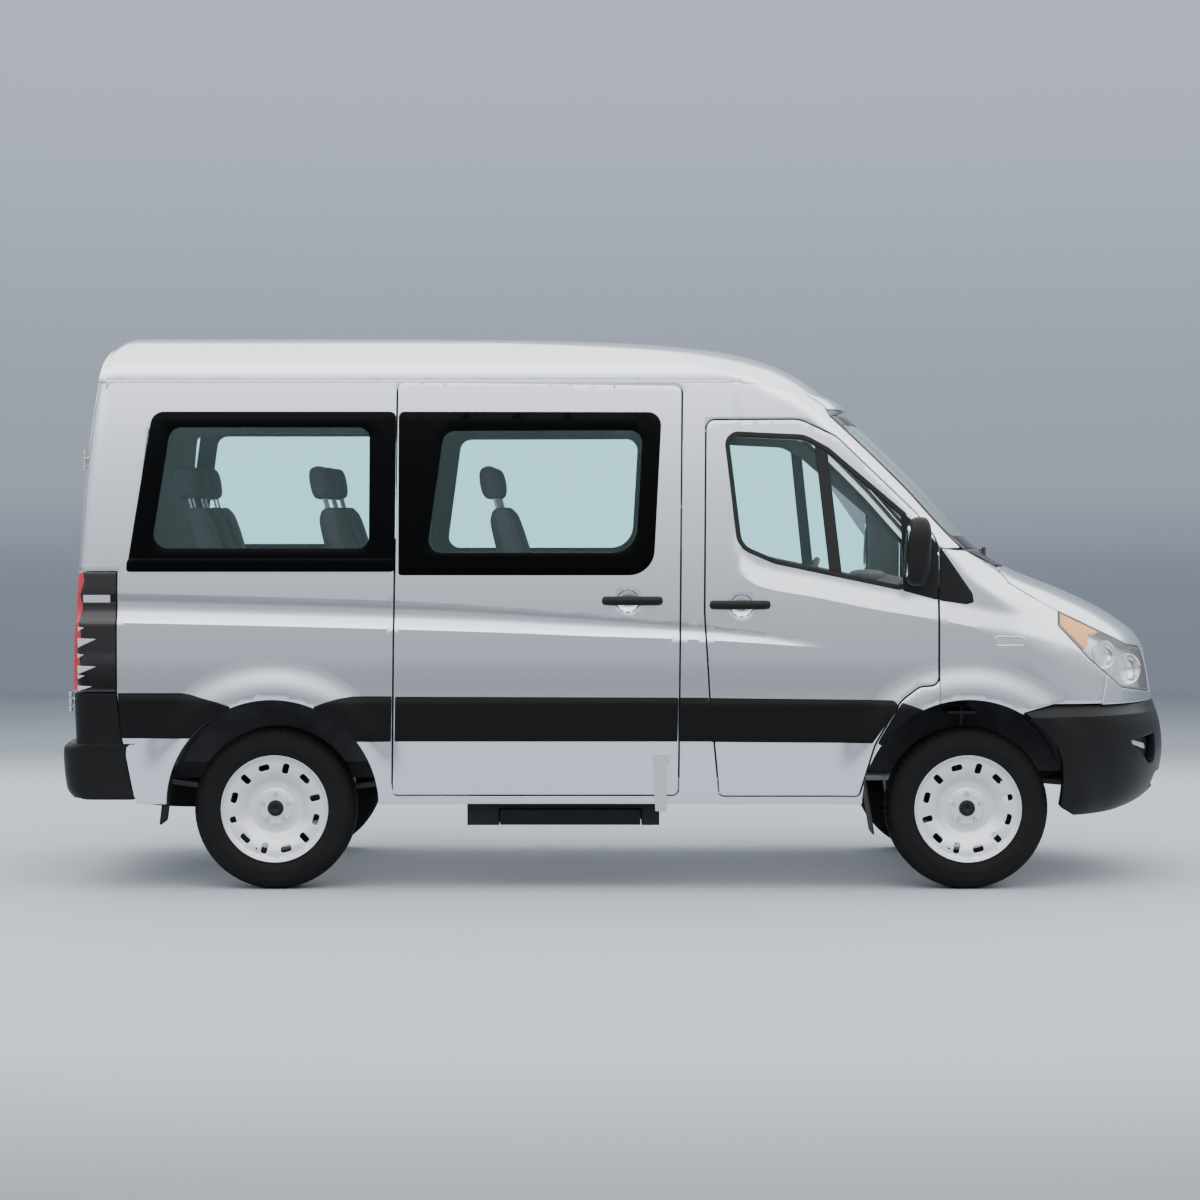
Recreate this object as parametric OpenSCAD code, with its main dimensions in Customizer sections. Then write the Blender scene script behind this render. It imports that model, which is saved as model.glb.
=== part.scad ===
// A short-wheelbase high-roof minibus: a hollow steel body on two chassis rails, with two hinged cab
// doors, one sliding side door, two hinged rear doors, a hinged bonnet, steered front wheels and a
// step that slides out below the side door.
// +X points to the nose, +Y to the left side, +Z up. The origin is on the ground below the middle.

/* [Overall] */
// Distance between the axles
wheelbase = 3250; // [3000:10:3800]
// Nose ahead of the front axle
front_overhang = 1050; // [950:10:1200]
// Rear bumper behind the rear axle
rear_overhang = 1010; // [900:10:1400]
// Half the body's width at its widest
half_width = 992; // [940:1:1040]
// Top of the roof above the ground
roof_top = 2622; // [2560:1:2760]
// Lower edge of the body sides
sill_z = 405; // [380:5:440]

/* [Walls] */
// Thickness of the body sides and doors
side_wall = 60; // [45:1:75]
// Thickness of the roof with its lining
roof_wall = 45; // [30:1:60]
// Thickness of the bumpers, wings and bonnet
skin_wall = 26; // [15:1:34]
// Gap round the doors
door_gap = 8; // [7:0.5:10]
// Thickness of the glass
glass_t = 5; // [4:0.5:8]
// Gap between a pane and its rubber seat
seat_gap = 0.4; // [0.2:0.1:0.8]

/* [Wheels] */
// Outer radius of the tyres
tyre_r = 380; // [350:1:390]
// Width of the tyres
tyre_w = 228; // [195:1:245]
// Outer radius of the rims
rim_r = 238; // [215:1:245]
// Middle of a tyre from the middle of the bus
half_track = 822; // [780:1:835]
// Kingpin from the middle of the bus
kingpin_y = 655; // [640:1:670]
// Radius of the wheel arches
arch_r = 498; // [475:1:510]

/* [Cabin] */
// Top of the floor
floor_z = 650; // [620:1:700]
// Thickness of the floor
floor_t = 40; // [30:1:60]
// Width of a seat
seat_w = 440; // [400:1:460]
// Height of a seat cushion above the floor
seat_h = 430; // [380:1:470]

/* [Hidden] */
$fn = 32;
slack = 0.01;

overall = rear_overhang + wheelbase + front_overhang;
front_x = overall / 2;
rear_x = -overall / 2;
front_axle_x = front_x - front_overhang;
rear_axle_x = rear_x + rear_overhang;
axle_z = tyre_r;
arch_z = axle_z + 20;

// Heights of the body's section
belly_z = 1100;
gutter_z = 2390;
belt_z = 1500;
screen_low_z = 1596;
screen_top_z = 2228;
sill_tuck = 38;
tumblehome = 122;

// Lengthways places
taper_x = front_axle_x - 1005;
cab_taper = 45;
door_rear_x = front_axle_x - 1237;
door_front_x = front_axle_x - 144;
slider_front_x = front_axle_x - 1339;
slider_rear_x = rear_axle_x + 576;
pillar_x = rear_axle_x - 739;
cab_x = door_rear_x - 30;

paint = [0.80, 0.80, 0.83];
black = [0.09, 0.09, 0.10];
glass_tint = [0.55, 0.72, 0.72, 0.4];
steel = [0.35, 0.36, 0.38];

function ease(t) = let (u = min(max(t, 0), 1)) u * u * (3 - 2 * u);

// Middle line of the nose, windscreen and roof front: height, then distance behind the nose
nose_line = [[345, 190], [380, 110], [440, 45], [520, 12], [625, 0], [720, 8], [790, 25], [860, 50],
    [915, 58], [1020, 75], [1118, 101], [1160, 125], [1194, 155], [1240, 215], [1297, 305], [1394, 509],
    [1460, 680], [1505, 787], [1545, 860], [1596, 932], [1912, 1232], [2228, 1560], [2357, 1706],
    [2455, 1851], [2542, 2095], [2577, 2330], [2605, 2700], [2622, 3400]];
roof_lift = roof_top - 2622;
function nose_x(z) = front_x - lookup(z - (z > screen_top_z ? roof_lift * (z - screen_top_z) / (roof_top - screen_top_z) : 0), nose_line);
// How far back the corner of the nose starts to turn in
function nose_depth(z) = lookup(z, [[300, 700], [1150, 700], [1400, 460], [1596, 240], [2228, 240],
    [2357, 330], [2455, 480], [2577, 900], [2622, 1400]]);
function corner_x(z) = nose_x(z) - nose_depth(z);
round_p = 2.2;

// Rear face: height, then distance ahead of the rear bumper
rear_line = [[400, 100], [688, 80], [944, 75], [1548, 98], [2106, 140], [2516, 201], [2622, 225]];
function tail_x(z) = rear_x + lookup(z, rear_line);

// Crease along the side
function swage_z(x) = 1339 - 80 * ease((x - rear_axle_x - 700) / 2600);
swage_step = 13;
swage_h = 60;

flare_out = 20;
flare_band = 150;
function flare(x, z, axle) = flare_out * (1 - ease((norm([x - axle, z - arch_z]) - arch_r) / flare_band));

function section_half(z) = z < belly_z
    ? half_width - sill_tuck * pow((belly_z - z) / (belly_z - sill_z), 2)
    : half_width - tumblehome * pow((z - belly_z) / (gutter_z - belly_z), 1.6);

function wall_half(x, z) = section_half(min(z, gutter_z))
    - cab_taper * pow(max(0, x - taper_x) / (front_x - taper_x), 2)
    - swage_step * ease((z - swage_z(x)) / swage_h + 0.5)
    + max(flare(x, z, front_axle_x), flare(x, z, rear_axle_x));

// Half width of the outside at a place along the bus and a height
function roof_share(z) = z <= gutter_z ? 1
    : pow(max(1 - pow(min((z - gutter_z) / (roof_top - gutter_z), 1), round_p), 0), 1 / round_p);
function nose_share(x, z) = let (t = (x - corner_x(z)) / nose_depth(z)) t <= 0 ? 1
    : pow(max(1 - pow(min(t, 0.9999), round_p), 0), 1 / round_p);
function outer_half(x, z) = wall_half(x, z) * roof_share(z) * nose_share(x, z);

// Height of the outside at a place along the bus and a half width, by halving
function top_at(x, y, low, high, n = 16) = n == 0 ? (low + high) / 2
    : let (mid = (low + high) / 2)
        outer_half(x, mid) > y ? top_at(x, y, mid, high, n - 1) : top_at(x, y, low, mid, n - 1);
// Place along the bus of the outside at a half width and a height
function front_at(y, z) = let (s = min(y / wall_half(corner_x(z), z), 0.999))
    corner_x(z) + nose_depth(z) * pow(1 - pow(s, round_p), 1 / round_p);

// Faces of a closed skin between two grids of n by m points
function quad(p, q, r, s, flip) = flip ? [[p, q, r], [p, r, s]] : [[p, r, q], [p, s, r]];
function skin_faces(n, m, flip) = let (b = n * m) [
    for (i = [0:n - 2]) for (j = [0:m - 2]) for (f = quad(i * m + j, (i + 1) * m + j, (i + 1) * m + j + 1, i * m + j + 1, flip)) f,
    for (i = [0:n - 2]) for (j = [0:m - 2]) for (f = quad(b + i * m + j, b + i * m + j + 1, b + (i + 1) * m + j + 1, b + (i + 1) * m + j, flip)) f,
    for (i = [0:n - 2]) for (f = quad(i * m, b + i * m, b + (i + 1) * m, (i + 1) * m, flip)) f,
    for (i = [0:n - 2]) for (f = quad(i * m + m - 1, (i + 1) * m + m - 1, b + (i + 1) * m + m - 1, b + i * m + m - 1, flip)) f,
    for (j = [0:m - 2]) for (f = quad(j, j + 1, b + j + 1, b + j, flip)) f,
    for (j = [0:m - 2]) for (f = quad((n - 1) * m + j, b + (n - 1) * m + j, b + (n - 1) * m + j + 1, (n - 1) * m + j + 1, flip)) f];
module skin(outer, inner, n, m, flip = false) polyhedron(points = concat(outer, inner), faces = skin_faces(n, m, flip));

// A side wall over columns and heights; side is 1 on the left and -1 on the right
module side_skin(columns, heights, side, outset = 0, wall = side_wall)
    skin([for (x = columns) for (z = heights) [x, side * (outer_half(x, z) + outset), z]],
         [for (x = columns) for (z = heights) [x, side * (outer_half(x, z) + outset - wall), z]],
         len(columns), len(heights), side > 0);

// The same wall with columns that follow the screen pillar
function pillar_edge(z) = z < screen_low_z ? corner_x(screen_low_z) + 100
    : z < screen_top_z ? corner_x(z) + 100
    : corner_x(screen_top_z) + 100 - 455 * pow((z - screen_top_z) / (gutter_z - screen_top_z), 3);
module cab_skin(shares, heights, side, from_x, limit_x, outset = 0, wall = side_wall) {
    function place(s, z) = from_x + s * (min(pillar_edge(z), limit_x) - from_x);
    skin([for (s = shares) for (z = heights) [place(s, z), side * (outer_half(place(s, z), z) + outset), z]],
         [for (s = shares) for (z = heights) [place(s, z), side * (outer_half(place(s, z), z) + outset - wall), z]],
         len(shares), len(heights), side > 0);
}

// A prism through the side of the bus from an outline of lengthways places and heights
module side_prism(outline, side, grow = 0, depth = 500)
    translate([0, side > 0 ? half_width + 60 : -half_width - 60 + depth, 0]) rotate([90, 0, 0])
        linear_extrude(depth) offset(delta = grow) polygon(outline);

function unit(v) = v / norm(v);
function arc(cx, cz, r, from, to, n = 6) = [for (i = [0:n]) let (a = from + (to - from) * i / n)
    [cx + r * cos(a), cz + r * sin(a)]];
// Points round one corner q of an outline between its neighbours p and s, with the radius in q[2]
function bend(p, q, s, n = 4) = q[2] == 0 ? [[q[0], q[1]]]
    : let (at = [q[0], q[1]], u = unit([p[0], p[1]] - at), v = unit([s[0], s[1]] - at), half = acos(u * v) / 2,
        middle = at + unit(u + v) * q[2] / sin(half), a = at + u * q[2] / tan(half) - middle,
        b = at + v * q[2] / tan(half) - middle, from = atan2(a[1], a[0]), sweep = atan2(b[1], b[0]) - from,
        turn = sweep > 180 ? sweep - 360 : sweep < -180 ? sweep + 360 : sweep)
        [for (i = [0:n]) middle + q[2] * [cos(from + turn * i / n), sin(from + turn * i / n)]];
// An outline of [place, height, corner radius] with its corners rounded
function rounded(q, n = 4) = [for (i = [0:len(q) - 1])
    for (p = bend(q[(i + len(q) - 1) % len(q)], q[i], q[(i + 1) % len(q)], n)) p];

heights_low = [sill_z, 520, 600, 679, 780, 911, 1010, 1100, 1200];
heights_mid = [1270, 1310, 1345, 1400, 1500, 1620];
heights_high = [1800, 2000, 2200, 2300, gutter_z];
corner_rows = [2290, 2330, 2355, 2375, gutter_z];
screen_rows = [screen_low_z, 1620, 1700, 1830, 1960, 2090, 2180, screen_top_z];
slider_columns = [slider_rear_x - 60, rear_axle_x + 560, slider_rear_x + 400, slider_front_x - 400, slider_front_x + 20];
door_shares = [0, 0.15, 0.3, 0.45, 0.6, 0.72, 0.82, 0.9, 0.96, 1];

// Outline of a cab door
door_outline = rounded([[door_rear_x + 70, 442, 25], [door_rear_x + 25, 900, 700], [door_rear_x, 1300, 900],
    [door_rear_x + 8, 2204, 45], [door_rear_x + 450, 2206, 160], [door_rear_x + 620, 2125, 120],
    [door_rear_x + 991, 1767, 60], [door_front_x - 20, 1660, 30], [door_front_x, 1600, 20],
    [door_front_x, 964, 42], [door_front_x - 90, 958, 70], [door_front_x - 180, 890, 160],
    [door_front_x - 298, 688, 200],
    [door_front_x - 372, 442, 25]]);
// Window of a cab door
door_window = rounded([[door_rear_x + 100, 2139, 50], [door_rear_x + 450, 2133, 120], [door_rear_x + 585, 2070, 120],
    [door_rear_x + 930, 1711, 60], [door_rear_x + 940, 1425, 35], [door_rear_x + 560, 1460, 400],
    [door_rear_x + 190, 1560, 110]]);
slider_outline = rounded([[slider_rear_x - 22, 446, 30], [slider_front_x - 19, 446, 30],
    [slider_front_x, 2366, 40], [slider_rear_x, 2384, 40]]);
pane_low_z = 1560;
pane_top_z = 2190;
quarter_x = [pillar_x + 150, slider_rear_x - 60];
slider_x = [slider_rear_x + 60, slider_front_x - 107];
quarter_pane = rounded([[quarter_x[0] - 74, pane_low_z, 90], [quarter_x[1], pane_low_z, 60],
    [quarter_x[1], pane_top_z, 60], [quarter_x[0], pane_top_z, 60]]);
slider_pane = rounded([[slider_x[0], pane_low_z, 60], [slider_x[1] - 46, pane_low_z, 110],
    [slider_x[1], pane_top_z, 60], [slider_x[0], pane_top_z, 60]]);
// Line of the wing's top, from the door over the cowl, down beside the bonnet and over the lamp
wing_top = [[door_front_x, screen_low_z + 4], [front_axle_x - 10, screen_low_z - 4], [front_axle_x + 149, 1516],
    [front_axle_x + 191, 1441], [front_axle_x + 300, 1375], [front_axle_x + 428, 1307],
    [front_axle_x + 640, 1215], [front_axle_x + 791, 1139], [front_x + 40, 1118]];
lamp_outline = rounded([[front_x - 622, 1307, 8], [front_x - 628, 1235, 20], [front_x - 480, 1085, 60],
    [front_x - 300, 940, 60], [front_x - 10, 905, 0], [front_x + 30, 1112, 0], [front_x - 259, 1139, 0]]);
seam_x = front_axle_x + 646;
lamp_reach = half_width + 60 - 410;

module arch_cut(axle, side, r = arch_r)
    translate([axle, side > 0 ? half_track - tyre_w / 2 - 60 : -half_width - 200, arch_z]) rotate([-90, 0, 0])
        cylinder(h = half_width + 260 - half_track + tyre_w / 2, r = r, $fn = 64);

// Hinges of the cab doors, inside the skin
hinge_heights = [1050, 1225];
pin_r = 8;
barrel_r = 13;
pin_fit = 0.08;
hinge_x = door_front_x - door_gap / 2 - 60;
hinge_y = outer_half(door_front_x, belly_z) - 19;
// Hinges of the rear doors, on a line that leans with the door's edge
tail_round = 70;
rear_door_low = 706;
rear_door_top = 2470;
rear_gap = 6;
rear_barrel_r = 11;
rear_pin_r = 6;
function rear_edge(z) = outer_half(pillar_x, min(z, gutter_z)) - tail_round - rear_gap;
rear_hinge_out = 19;
rear_hinge_low = [tail_x(883) - rear_hinge_out, rear_edge(883) + 6, 883];
rear_hinge_high = [tail_x(2013) - rear_hinge_out, rear_edge(2013) + 6, 2013];
rear_lean = rear_hinge_high - rear_hinge_low;
// Places along a rear hinge line, turned upright
module on_rear_hinge(side, place) {
    at = rear_hinge_low + rear_lean * place;
    translate([at[0], side * at[1], at[2]])
        rotate([-side * atan2(rear_lean[1], rear_lean[2]), atan2(rear_lean[0], norm([rear_lean[1], rear_lean[2]])), 0])
            children();
}
rear_hinge_places = [0, 1];

// Body side: wall, sill beam, hinge pillar and rear corner
module body_side(side) {
    color(paint) difference() {
        union() {
            body_rear_skin(side);
            body_cab_skin(side);
            sill_beam(side);
            rear_pillar(side);
        }
        arch_cut(rear_axle_x, side);
        side_prism(door_outline, side, door_gap / 2);
        side_prism([[door_front_x + door_gap / 2, 700], [front_axle_x + 700, 700],
            [front_axle_x + 700, screen_low_z + 3.6], [door_front_x + door_gap / 2, screen_low_z + 3.6]], side);
        arch_cut(front_axle_x, side);
        side_prism(quarter_pane, side);
        if (side < 0) side_prism(slider_outline, side, door_gap / 2);
        else side_prism(slider_pane, side);
        rear_corner_cut(side);
    }
    color(paint) hinge_pillar(side);
    color(steel) for (place = rear_hinge_places) rear_hinge_post(side, place);
}
// Lengthways slices of the wall behind the cab
rear_columns = [pillar_x - 9, pillar_x + 140, rear_axle_x - 560, rear_axle_x - 430, rear_axle_x - 220, rear_axle_x,
    rear_axle_x + 220, rear_axle_x + 430, rear_axle_x + 560, slider_rear_x + 400, slider_front_x - 400, cab_x];
function corner_point(side, turn, z, depth) = [tail_x(z) + tail_round - (tail_round - depth) * sin(turn),
    side * (outer_half(pillar_x, z) - tail_round + (tail_round - depth) * cos(turn)), z];
function side_ring(side, columns, z, depth) = concat([for (turn = [90, 60, 30, 0]) corner_point(side, turn, z, depth)],
    [for (x = columns) [x, side * (outer_half(x, z) - depth), z]]);
module corner_skin(side, columns, heights, depth, outset = 0) {
    function across(d) = [for (i = [0:len(columns) + 3]) for (z = heights) side_ring(side, columns, z, d)[i]];
    skin(across(-outset), across(depth), len(columns) + 4, len(heights), side > 0);
}
module body_rear_skin(side)
    corner_skin(side, rear_columns, concat(heights_low, heights_mid, heights_high), side_wall);
module body_cab_skin(side)
    cab_skin([0, 0.12, 0.3, 0.5, 0.68, 0.82, 0.91, 0.96, 1],
        concat(heights_low, [1270, 1310, 1345, 1400, 1500], screen_rows, corner_rows),
        side, cab_x - 1, 9999);
module sill_beam(side)
    translate([rear_axle_x + arch_r + 20, side > 0 ? 850 : -925, sill_z + 20])
        cube([wheelbase - 2 * arch_r - 60, 75, floor_z - floor_t - sill_z - 20]);
module rear_pillar(side)
    translate([pillar_x - 130, side > 0 ? 878 : -918, floor_z + 50]) cube([190, 40, 226]);
// Post ahead of the door that carries its hinge barrels
module hinge_pillar(side) {
    post_y = hinge_y - 98;
    translate([door_front_x - 60, side > 0 ? post_y - 60 : -post_y, arch_z + arch_r + 14])
        cube([99.8, 60, 560]);
    for (z = hinge_heights)
        difference() {
            union() {
                translate([hinge_x, side * hinge_y, z - 20]) cylinder(h = 40, r = barrel_r);
                translate([hinge_x - 8, side > 0 ? post_y - 20 : -hinge_y, z - 20]) cube([16, hinge_y - post_y + 20, 40]);
                translate([hinge_x - 8, side > 0 ? post_y - 20 : -post_y, z - 20]) cube([60, 20, 40]);
            }
            translate([hinge_x, side * hinge_y, z - 30]) cylinder(h = 60, r = pin_r + pin_fit);
        }
}
module rear_corner_cut(side) {
    side_prism([[rear_x - 50, 1493], [pillar_x + 10, 1493], [pillar_x + 10, 928], [rear_x - 50, 928]], side, 0, 260);
    intersection() {
        side_prism([[rear_x - 50, 929], [pillar_x + 10, 929], [pillar_x + 44, 690], [rear_x - 50, 690]], side, 0, 260);
        translate([rear_x, side > 0 ? 918 : -1200, 0]) cube([1000, 282, 1000]);
    }
    side_prism([[rear_x - 50, 691], [pillar_x + 61, 691], [pillar_x + 64, 560], [pillar_x + 90, 380], [rear_x - 50, 380]], side, 0, 260);
    translate([rear_x, side > 0 ? 800 : -1200, 300]) cube([tail_x(900) + 62 - rear_x, 400, 1193]);
}
module rear_hinge_post(side, place)
    on_rear_hinge(side, place) {
        for (z = [-45, 21]) {
            translate([0, 0, z]) cylinder(h = 24, r = rear_barrel_r);
            translate([-5, side > 0 ? 0 : -34, z]) cube([10, 34, 24]);
            translate([-5, side > 0 ? 14 : -30, z]) cube([120, 16, 24]);
        }
        translate([85, side > 0 ? -34 : -30, -45]) cube([30, 64, 90]);
        translate([0, 0, -45]) cylinder(h = 90, r = rear_pin_r);
    }

// Roof: one dome from the rear to the windscreen, with a header over the rear doors
roof_gap = 0.4;
roof_shares = [-1, -0.975, -0.94, -0.88, -0.75, -0.5, -0.2, 0.2, 0.5, 0.75, 0.88, 0.94, 0.975, 1];
screen_edge_x = corner_x(screen_top_z) + 100;
back_x = tail_x(2540) + 8;
function roof_edge_z(x) = roof_gap + (x < screen_edge_x - 455 ? gutter_z
    : screen_top_z + (gutter_z - screen_top_z) * pow(max(0, screen_edge_x - x) / 455, 1 / 3));
function header_x(share) = front_at(abs(share) * outer_half(screen_edge_x, screen_top_z), screen_top_z + roof_gap);
function roof_point(v, share, depth) = let (xe = back_x + v * (screen_edge_x - back_x),
    x = abs(share) == 1 ? xe : back_x + v * (header_x(share) - back_x), ze = roof_edge_z(xe), y = abs(share) * outer_half(xe, ze),
    top = abs(share) == 1 ? ze : top_at(x, y, ze, roof_top), drop = 0.3 * (top - ze) * pow(max(0, 1 - v * 26), 2))
    depth == 0 ? [x, sign(share) * y, top - drop]
        : abs(share) == 1 ? [x, sign(share) * (y - side_wall - 6 - 24 * pow(max(0, 1 - v * 26), 2)), top + 9]
        : abs(share) > 0.97 ? [x, sign(share) * (outer_half(xe, ze) - side_wall - 8 - 24 * pow(max(0, 1 - v * 26), 2)), ze + 11]
        : abs(share) > 0.93 && v > 0.99 ? [x, sign(share) * y * 0.93, ze + 9]
        : [x, sign(share) * y * (1 - depth / 700), top - drop - depth];
module roof() {
    rows = concat([0, 0.012, 0.028, 0.045, 0.15, 0.3, 0.45, 0.6, 0.72],
        [for (z = [gutter_z, 2375, 2355, 2330, 2290, screen_top_z]) (pillar_edge(z) - back_x) / (screen_edge_x - back_x)]);
    shares = roof_shares;
    color(paint) {
        difference() {
            skin([for (v = rows) for (c = shares) roof_point(v, c, 0)],
                [for (v = rows) for (c = shares) roof_point(v, c, roof_wall)], len(rows), len(shares));
            translate([back_x - 100, 0, 0]) rotate([90, 0, 90]) linear_extrude(roof_wall + 100) polygon(rear_opening);
        }
        rear_header(shares);
    }
}
module rear_header(shares)
    translate([back_x, 0, 0]) rotate([90, 0, 90]) linear_extrude(roof_wall)
        difference() {
            polygon([for (c = shares) let (p = roof_point(0, c, 0)) [p[1] * 0.92, p[2] - 12]]);
            polygon(rear_opening);
        }
rear_opening = rounded([[-rear_edge(rear_door_low) - rear_gap, 300, 0], [rear_edge(rear_door_low) + rear_gap, 300, 0],
    [rear_edge(gutter_z) + rear_gap, gutter_z - 20, 0], [rear_edge(gutter_z) - 40, rear_door_top + 10, 50],
    [0, rear_door_top + 42, 1600], [40 - rear_edge(gutter_z), rear_door_top + 10, 50],
    [-rear_edge(gutter_z) - rear_gap, gutter_z - 20, 0]]);

// Floor on the sill beams and rails, with the rear wheel boxes, the front wheel liners and strut towers
liner_in = 470;
floor_half = [[rear_x + 165, 866], [pillar_x + 65, 866], [pillar_x + 65, 908], [cab_x, 908], [cab_x, 900],
    [front_axle_x - 480, 900], [front_axle_x - 480, liner_in], [front_axle_x - 100, liner_in]];
module floor_plate()
    color(steel) difference() {
        union() {
            translate([0, 0, floor_z - floor_t]) linear_extrude(floor_t)
                polygon(concat(floor_half, [for (i = [len(floor_half) - 1:-1:0]) [floor_half[i][0], -floor_half[i][1]]]));
            for (side = [-1, 1]) {
                wheel_box(side, rear_axle_x, arch_r + 14, 640, 918);
                difference() {
                    wheel_box(side, front_axle_x, arch_r + 10, liner_in, 906);
                    wheel_box(side, front_axle_x, arch_r, liner_in + 10, 1000);
                }
                strut_tower(side);
            }
        }
        for (side = [-1, 1]) wheel_box(side, rear_axle_x, arch_r, 654, 1000);
    }
module wheel_box(side, axle, r, from_y, to_y)
    translate([axle, side > 0 ? from_y : -to_y, arch_z]) rotate([-90, 0, 0])
        intersection() {
            cylinder(h = to_y - from_y, r = r, $fn = 64);
            translate([-r - 1, -r - 1, -1]) cube([2 * r + 2, r + 1 - 180, to_y - from_y + 2]);
        }

// Bulkhead, cowl and front frame, with the wipers
function inner_outline(x, heights, wall) = concat(
    [for (z = heights) [outer_half(x, z) - wall, z]],
    [for (i = [len(heights) - 1:-1:0]) [wall - outer_half(x, heights[i]), heights[i]]]);
module cross_plate(x, heights, wall, thick)
    translate([x, 0, 0]) rotate([90, 0, 90]) linear_extrude(thick) polygon(inner_outline(x + thick, heights, wall));
module scuttle() {
    color(black) difference() {
        wrap_skin([1440, 1470, 1500, 1520, 1540, 1560, 1580, screen_low_z], wrap_angles, [10, 60], skin_wall);
        side_prism(concat([[door_front_x - 200, screen_low_z + 4]], wing_top, [[front_x + 40, 1300], [door_front_x - 200, 1300]]), 1, 0.4, 2400);
        bonnet_prism(bonnet_gap + 5);
        for (y = bonnet_arm_y) translate([front_axle_x + 60, y - 26, 1400]) cube([200, 52, 300]);
    }
    color(steel) difference() {
        union() {
            cross_plate(door_front_x + 40, [arch_z + arch_r + 16, 950, 1000, 1060, 1140, 1200, 1260, 1320, 1380, 1440, 1500, 1550], skin_wall + 1.2, 24);
            translate([door_front_x + 40, 0.5 - liner_in, floor_z]) cube([24, 2 * liner_in - 1, 260]);
            translate([door_front_x + 40, -640, 1440]) cube([150, 1280, 12]);
            for (side = [-1, 1]) front_frame(side);
            translate([front_x - 329.8, -620, 470]) cube([60, 1240, 90]);
            translate([front_x - 330, -600, 1010]) cube([50, 1200, 60]);
            for (y = bonnet_arm_y) bonnet_bracket(y);
        }
        for (y = bonnet_arm_y)
            translate([bonnet_hinge_x, y + 40, bonnet_hinge_z]) rotate([90, 0, 0]) cylinder(h = 80, r = pin_r + pin_fit);
        bonnet_path();
    }
    color(black) for (y = [-560, 120]) wiper(y);
}
module front_frame(side) {
    translate([door_front_x + 64 - slack, side > 0 ? 760 : -800, 1030]) cube([front_x - 530 - door_front_x - 64, 40, 40]);
    translate([front_x - 329.8, side > 0 ? 540 : -600, 470]) cube([50, 60, 600]);
    translate([0, 0, 1030]) linear_extrude(40) polygon([for (p = [[front_x - 560, 800], [front_x - 480, 775], [front_x - 280, 560],
        [front_x - 280, 520], [front_x - 560, 520]]) [p[0], side * p[1]]]);
}
module wiper(y)
    translate([front_at(abs(y + 80), screen_low_z) + 24, y, screen_low_z - 50]) {
        cylinder(h = 56, r = 10);
        translate([-6, 0, 38]) cube([12, 420, 7]);
    }

// Bonnet hinges: goosenecks on pins in brackets of the bulkhead
bonnet_hinge_x = front_axle_x + 85;
bonnet_hinge_z = 1470;
bonnet_arm_y = [-540, 540];
bonnet_gap = 7;
module bonnet_bracket(y)
    for (dy = [-22, 12])
        translate([bonnet_hinge_x, y + dy, bonnet_hinge_z]) {
            rotate([-90, 0, 0]) cylinder(h = 10, r = 20);
            translate([-10, 0, -60]) cube([20, 10, 60]);
            translate([-100, 0, -60]) cube([110, 10, 34]);
        }
module bonnet_path()
    for (y = bonnet_arm_y) translate([bonnet_hinge_x - 30, y - 11.5, 1400]) cube([300, 23, 400]);

// Wings beside the bonnet, down to the bumper and the lamps
module wings() color(paint)
    for (side = [-1, 1])
        difference() {
            front_skin(side, [860, 911, 980, 1060, 1140, 1200, 1260, 1320, 1380, 1440, 1500, 1550, screen_low_z + 3],
                [0, 0.09, 0.2, 0.32, 0.45, 0.57, 0.66, 0.75, 0.83, 0.9, 0.95]);
            arch_cut(front_axle_x, side);
            side_prism(concat([for (p = wing_top) p], [[front_x + 100, 1700], [door_front_x - 50, 1700]]), side, bonnet_gap / 2, 1000);
            side_prism(lamp_outline, side, 3, 1000);
            side_prism([[seam_x, 1200], [seam_x, 1040], [seam_x - 22, 865], [seam_x - 22, 700], [front_x + 100, 700], [front_x + 100, 1200]], side, 0.5, 1000);
            side_prism([[door_front_x - 100, 700], [front_x, 700], [front_x, 866], [front_axle_x + 420, 866],
                [front_axle_x + 300, 820], [door_front_x - 100, 820]], side);
        }
module front_skin(side, heights, shares, wall = skin_wall) {
    from_x = door_front_x + door_gap / 2 + 1;
    function place(s, z) = from_x + s * (nose_x(z) - from_x);
    skin([for (s = shares) for (z = heights) [place(s, z), side * outer_half(place(s, z), z), z]],
         [for (s = shares) for (z = heights) [place(s, z), side * (outer_half(place(s, z), z) - wall), z]],
         len(shares), len(heights), side > 0);
}

// Full wrap of the nose: angle 0 is its middle, 90 the side; the rest runs back along the side
wrap_angles = [-90, -75, -62, -50, -38, -26, -13, 0, 13, 26, 38, 50, 62, 75, 90];
function wrap_point(turn, z, depth) = [corner_x(z) + (nose_depth(z) - depth) * pow(cos(turn), 2 / round_p),
    sign(turn) * (wall_half(corner_x(z), z) - depth) * pow(sin(abs(turn)), 2 / round_p), z];
function back_point(back, side, z, depth) = [corner_x(z) - back, side * (wall_half(corner_x(z) - back, z) - depth), z];
module wrap_skin(heights, turns, backs, wall, outset = 0) {
    function ring(z, depth) = concat([for (i = [len(backs) - 1:-1:0]) back_point(backs[i], -1, z, depth)],
        [for (turn = turns) wrap_point(turn, z, depth)], [for (back = backs) back_point(back, 1, z, depth)]);
    skin([for (z = heights) for (p = ring(z, -outset)) p], [for (z = heights) for (p = ring(z, wall)) p],
        len(heights), len(turns) + 2 * len(backs), true);
}

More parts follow.
